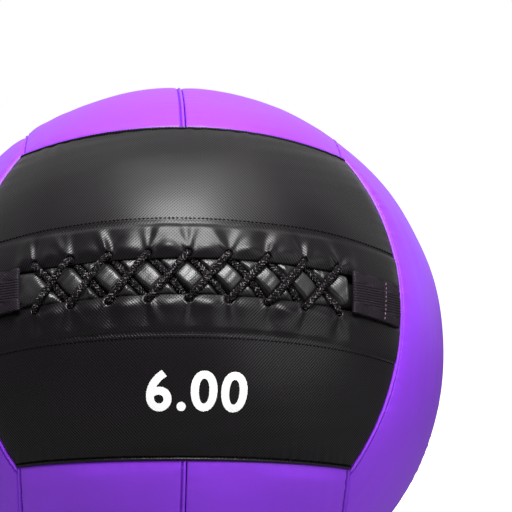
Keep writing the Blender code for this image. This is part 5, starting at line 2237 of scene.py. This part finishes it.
class WALLBALL_OT_stitches(Operator):
    """Sew the topstitch rows along seams and hems"""

    bl_idname = "wallball.stitches"
    bl_label = "Stitches"
    bl_options = {"REGISTER", "UNDO"}

    def execute(self, context):
        """Make every topstitch row."""
        for row in stitch_rows():
            make_stitch_row(*row)
        return {"FINISHED"}


class WALLBALL_OT_tongue(Operator):
    """Make the tongue behind the lace"""

    bl_idname = "wallball.tongue"
    bl_label = "Tongue"
    bl_options = {"REGISTER", "UNDO"}

    def execute(self, context):
        """Make the tongue."""
        make_tongue()
        return {"FINISHED"}


class WALLBALL_OT_tabs(Operator):
    """Fold and sew the webbing tabs"""

    bl_idname = "wallball.tabs"
    bl_label = "Webbing tabs"
    bl_options = {"REGISTER", "UNDO"}

    def execute(self, context):
        """Make both tabs and their stitches."""
        for side, hand, hinge in (("right", 1, RIGHT_HINGE), ("left", -1, LEFT_HINGE)):
            make_tab(side, hand)
            make_tab_stitches(side, hand)
        return {"FINISHED"}


class WALLBALL_OT_mark(Operator):
    """Print the plain weight number"""

    bl_idname = "wallball.mark"
    bl_label = "Weight mark"
    bl_options = {"REGISTER", "UNDO"}

    def execute(self, context):
        """Make the printed number."""
        make_mark()
        return {"FINISHED"}


class WALLBALL_OT_pads(Operator):
    """Make the foam pads behind the panels"""

    bl_idname = "wallball.pads"
    bl_label = "Foam pads"
    bl_options = {"REGISTER", "UNDO"}

    def execute(self, context):
        """Make a pad for each panel."""
        for shape in panel_shapes():
            make_pad(shape)
        return {"FINISHED"}


class WALLBALL_OT_filling(Operator):
    """Make the canvas liner and the textile filling"""

    bl_idname = "wallball.filling"
    bl_label = "Liner and filling"
    bl_options = {"REGISTER", "UNDO"}

    def execute(self, context):
        """Make both halves of the filling and the four gores."""
        make_filling("filling_upper", 1)
        make_filling("filling_lower", -1)
        for index, name in enumerate(("right_front", "right_back", "left_back", "left_front")):
            make_liner(index, name)
        return {"FINISHED"}


class WALLBALL_OT_ballast(Operator):
    """Make the ballast bag, its tie and the grit"""

    bl_idname = "wallball.ballast"
    bl_label = "Ballast"
    bl_options = {"REGISTER", "UNDO"}

    def execute(self, context):
        """Make the bag, its tie and the grit."""
        make_sack()
        make_tie()
        make_grit()
        return {"FINISHED"}


OPERATORS = (
    WALLBALL_OT_stage,
    WALLBALL_OT_lace,
    WALLBALL_OT_shell,
    WALLBALL_OT_front,
    WALLBALL_OT_stitches,
    WALLBALL_OT_tongue,
    WALLBALL_OT_tabs,
    WALLBALL_OT_mark,
    WALLBALL_OT_pads,
    WALLBALL_OT_filling,
    WALLBALL_OT_ballast,
)


class VIEW3D_PT_wall_ball(Panel):
    """Sizes, colours and steps of the wall ball"""

    bl_label = "Wall Ball"
    bl_category = "Wall Ball"
    bl_space_type = "VIEW_3D"
    bl_region_type = "UI"

    def draw(self, context):
        """Show every setting by group, then a button for each step."""
        ball = context.scene.wall_ball
        for name in ("shell", "lacing", "tabs", "inside", "colours", "studio"):
            group = getattr(ball, name)
            box = self.layout.box()
            box.label(text=name.capitalize())
            for item in group.bl_rna.properties:
                if item.identifier not in ("rna_type", "name"):
                    box.prop(group, item.identifier)
        self.layout.prop(ball, "mark")
        for operator in OPERATORS:
            self.layout.operator(operator.bl_idname)


CLASSES = (
    WallBallShell,
    WallBallLacing,
    WallBallTabs,
    WallBallInside,
    WallBallColours,
    WallBallStudio,
    WallBallSettings,
    *OPERATORS,
    VIEW3D_PT_wall_ball,
)


def register():
    """Register the classes and hang the settings on the scene."""
    for item in CLASSES:
        bpy.utils.register_class(item)
    bpy.types.Scene.wall_ball = PointerProperty(type=WallBallSettings)


def unregister():
    """Take the settings and the classes away again."""
    del bpy.types.Scene.wall_ball
    for item in reversed(CLASSES):
        bpy.utils.unregister_class(item)


def main():
    """Build the wall ball and its stage."""
    register()
    bpy.ops.wallball.stage()
    bpy.ops.wallball.lace()
    bpy.ops.wallball.shell()
    bpy.ops.wallball.front()
    bpy.ops.wallball.stitches()
    bpy.ops.wallball.tongue()
    bpy.ops.wallball.tabs()
    bpy.ops.wallball.mark()
    bpy.ops.wallball.pads()
    bpy.ops.wallball.filling()
    bpy.ops.wallball.ballast()


if __name__ == "__main__":
    main()
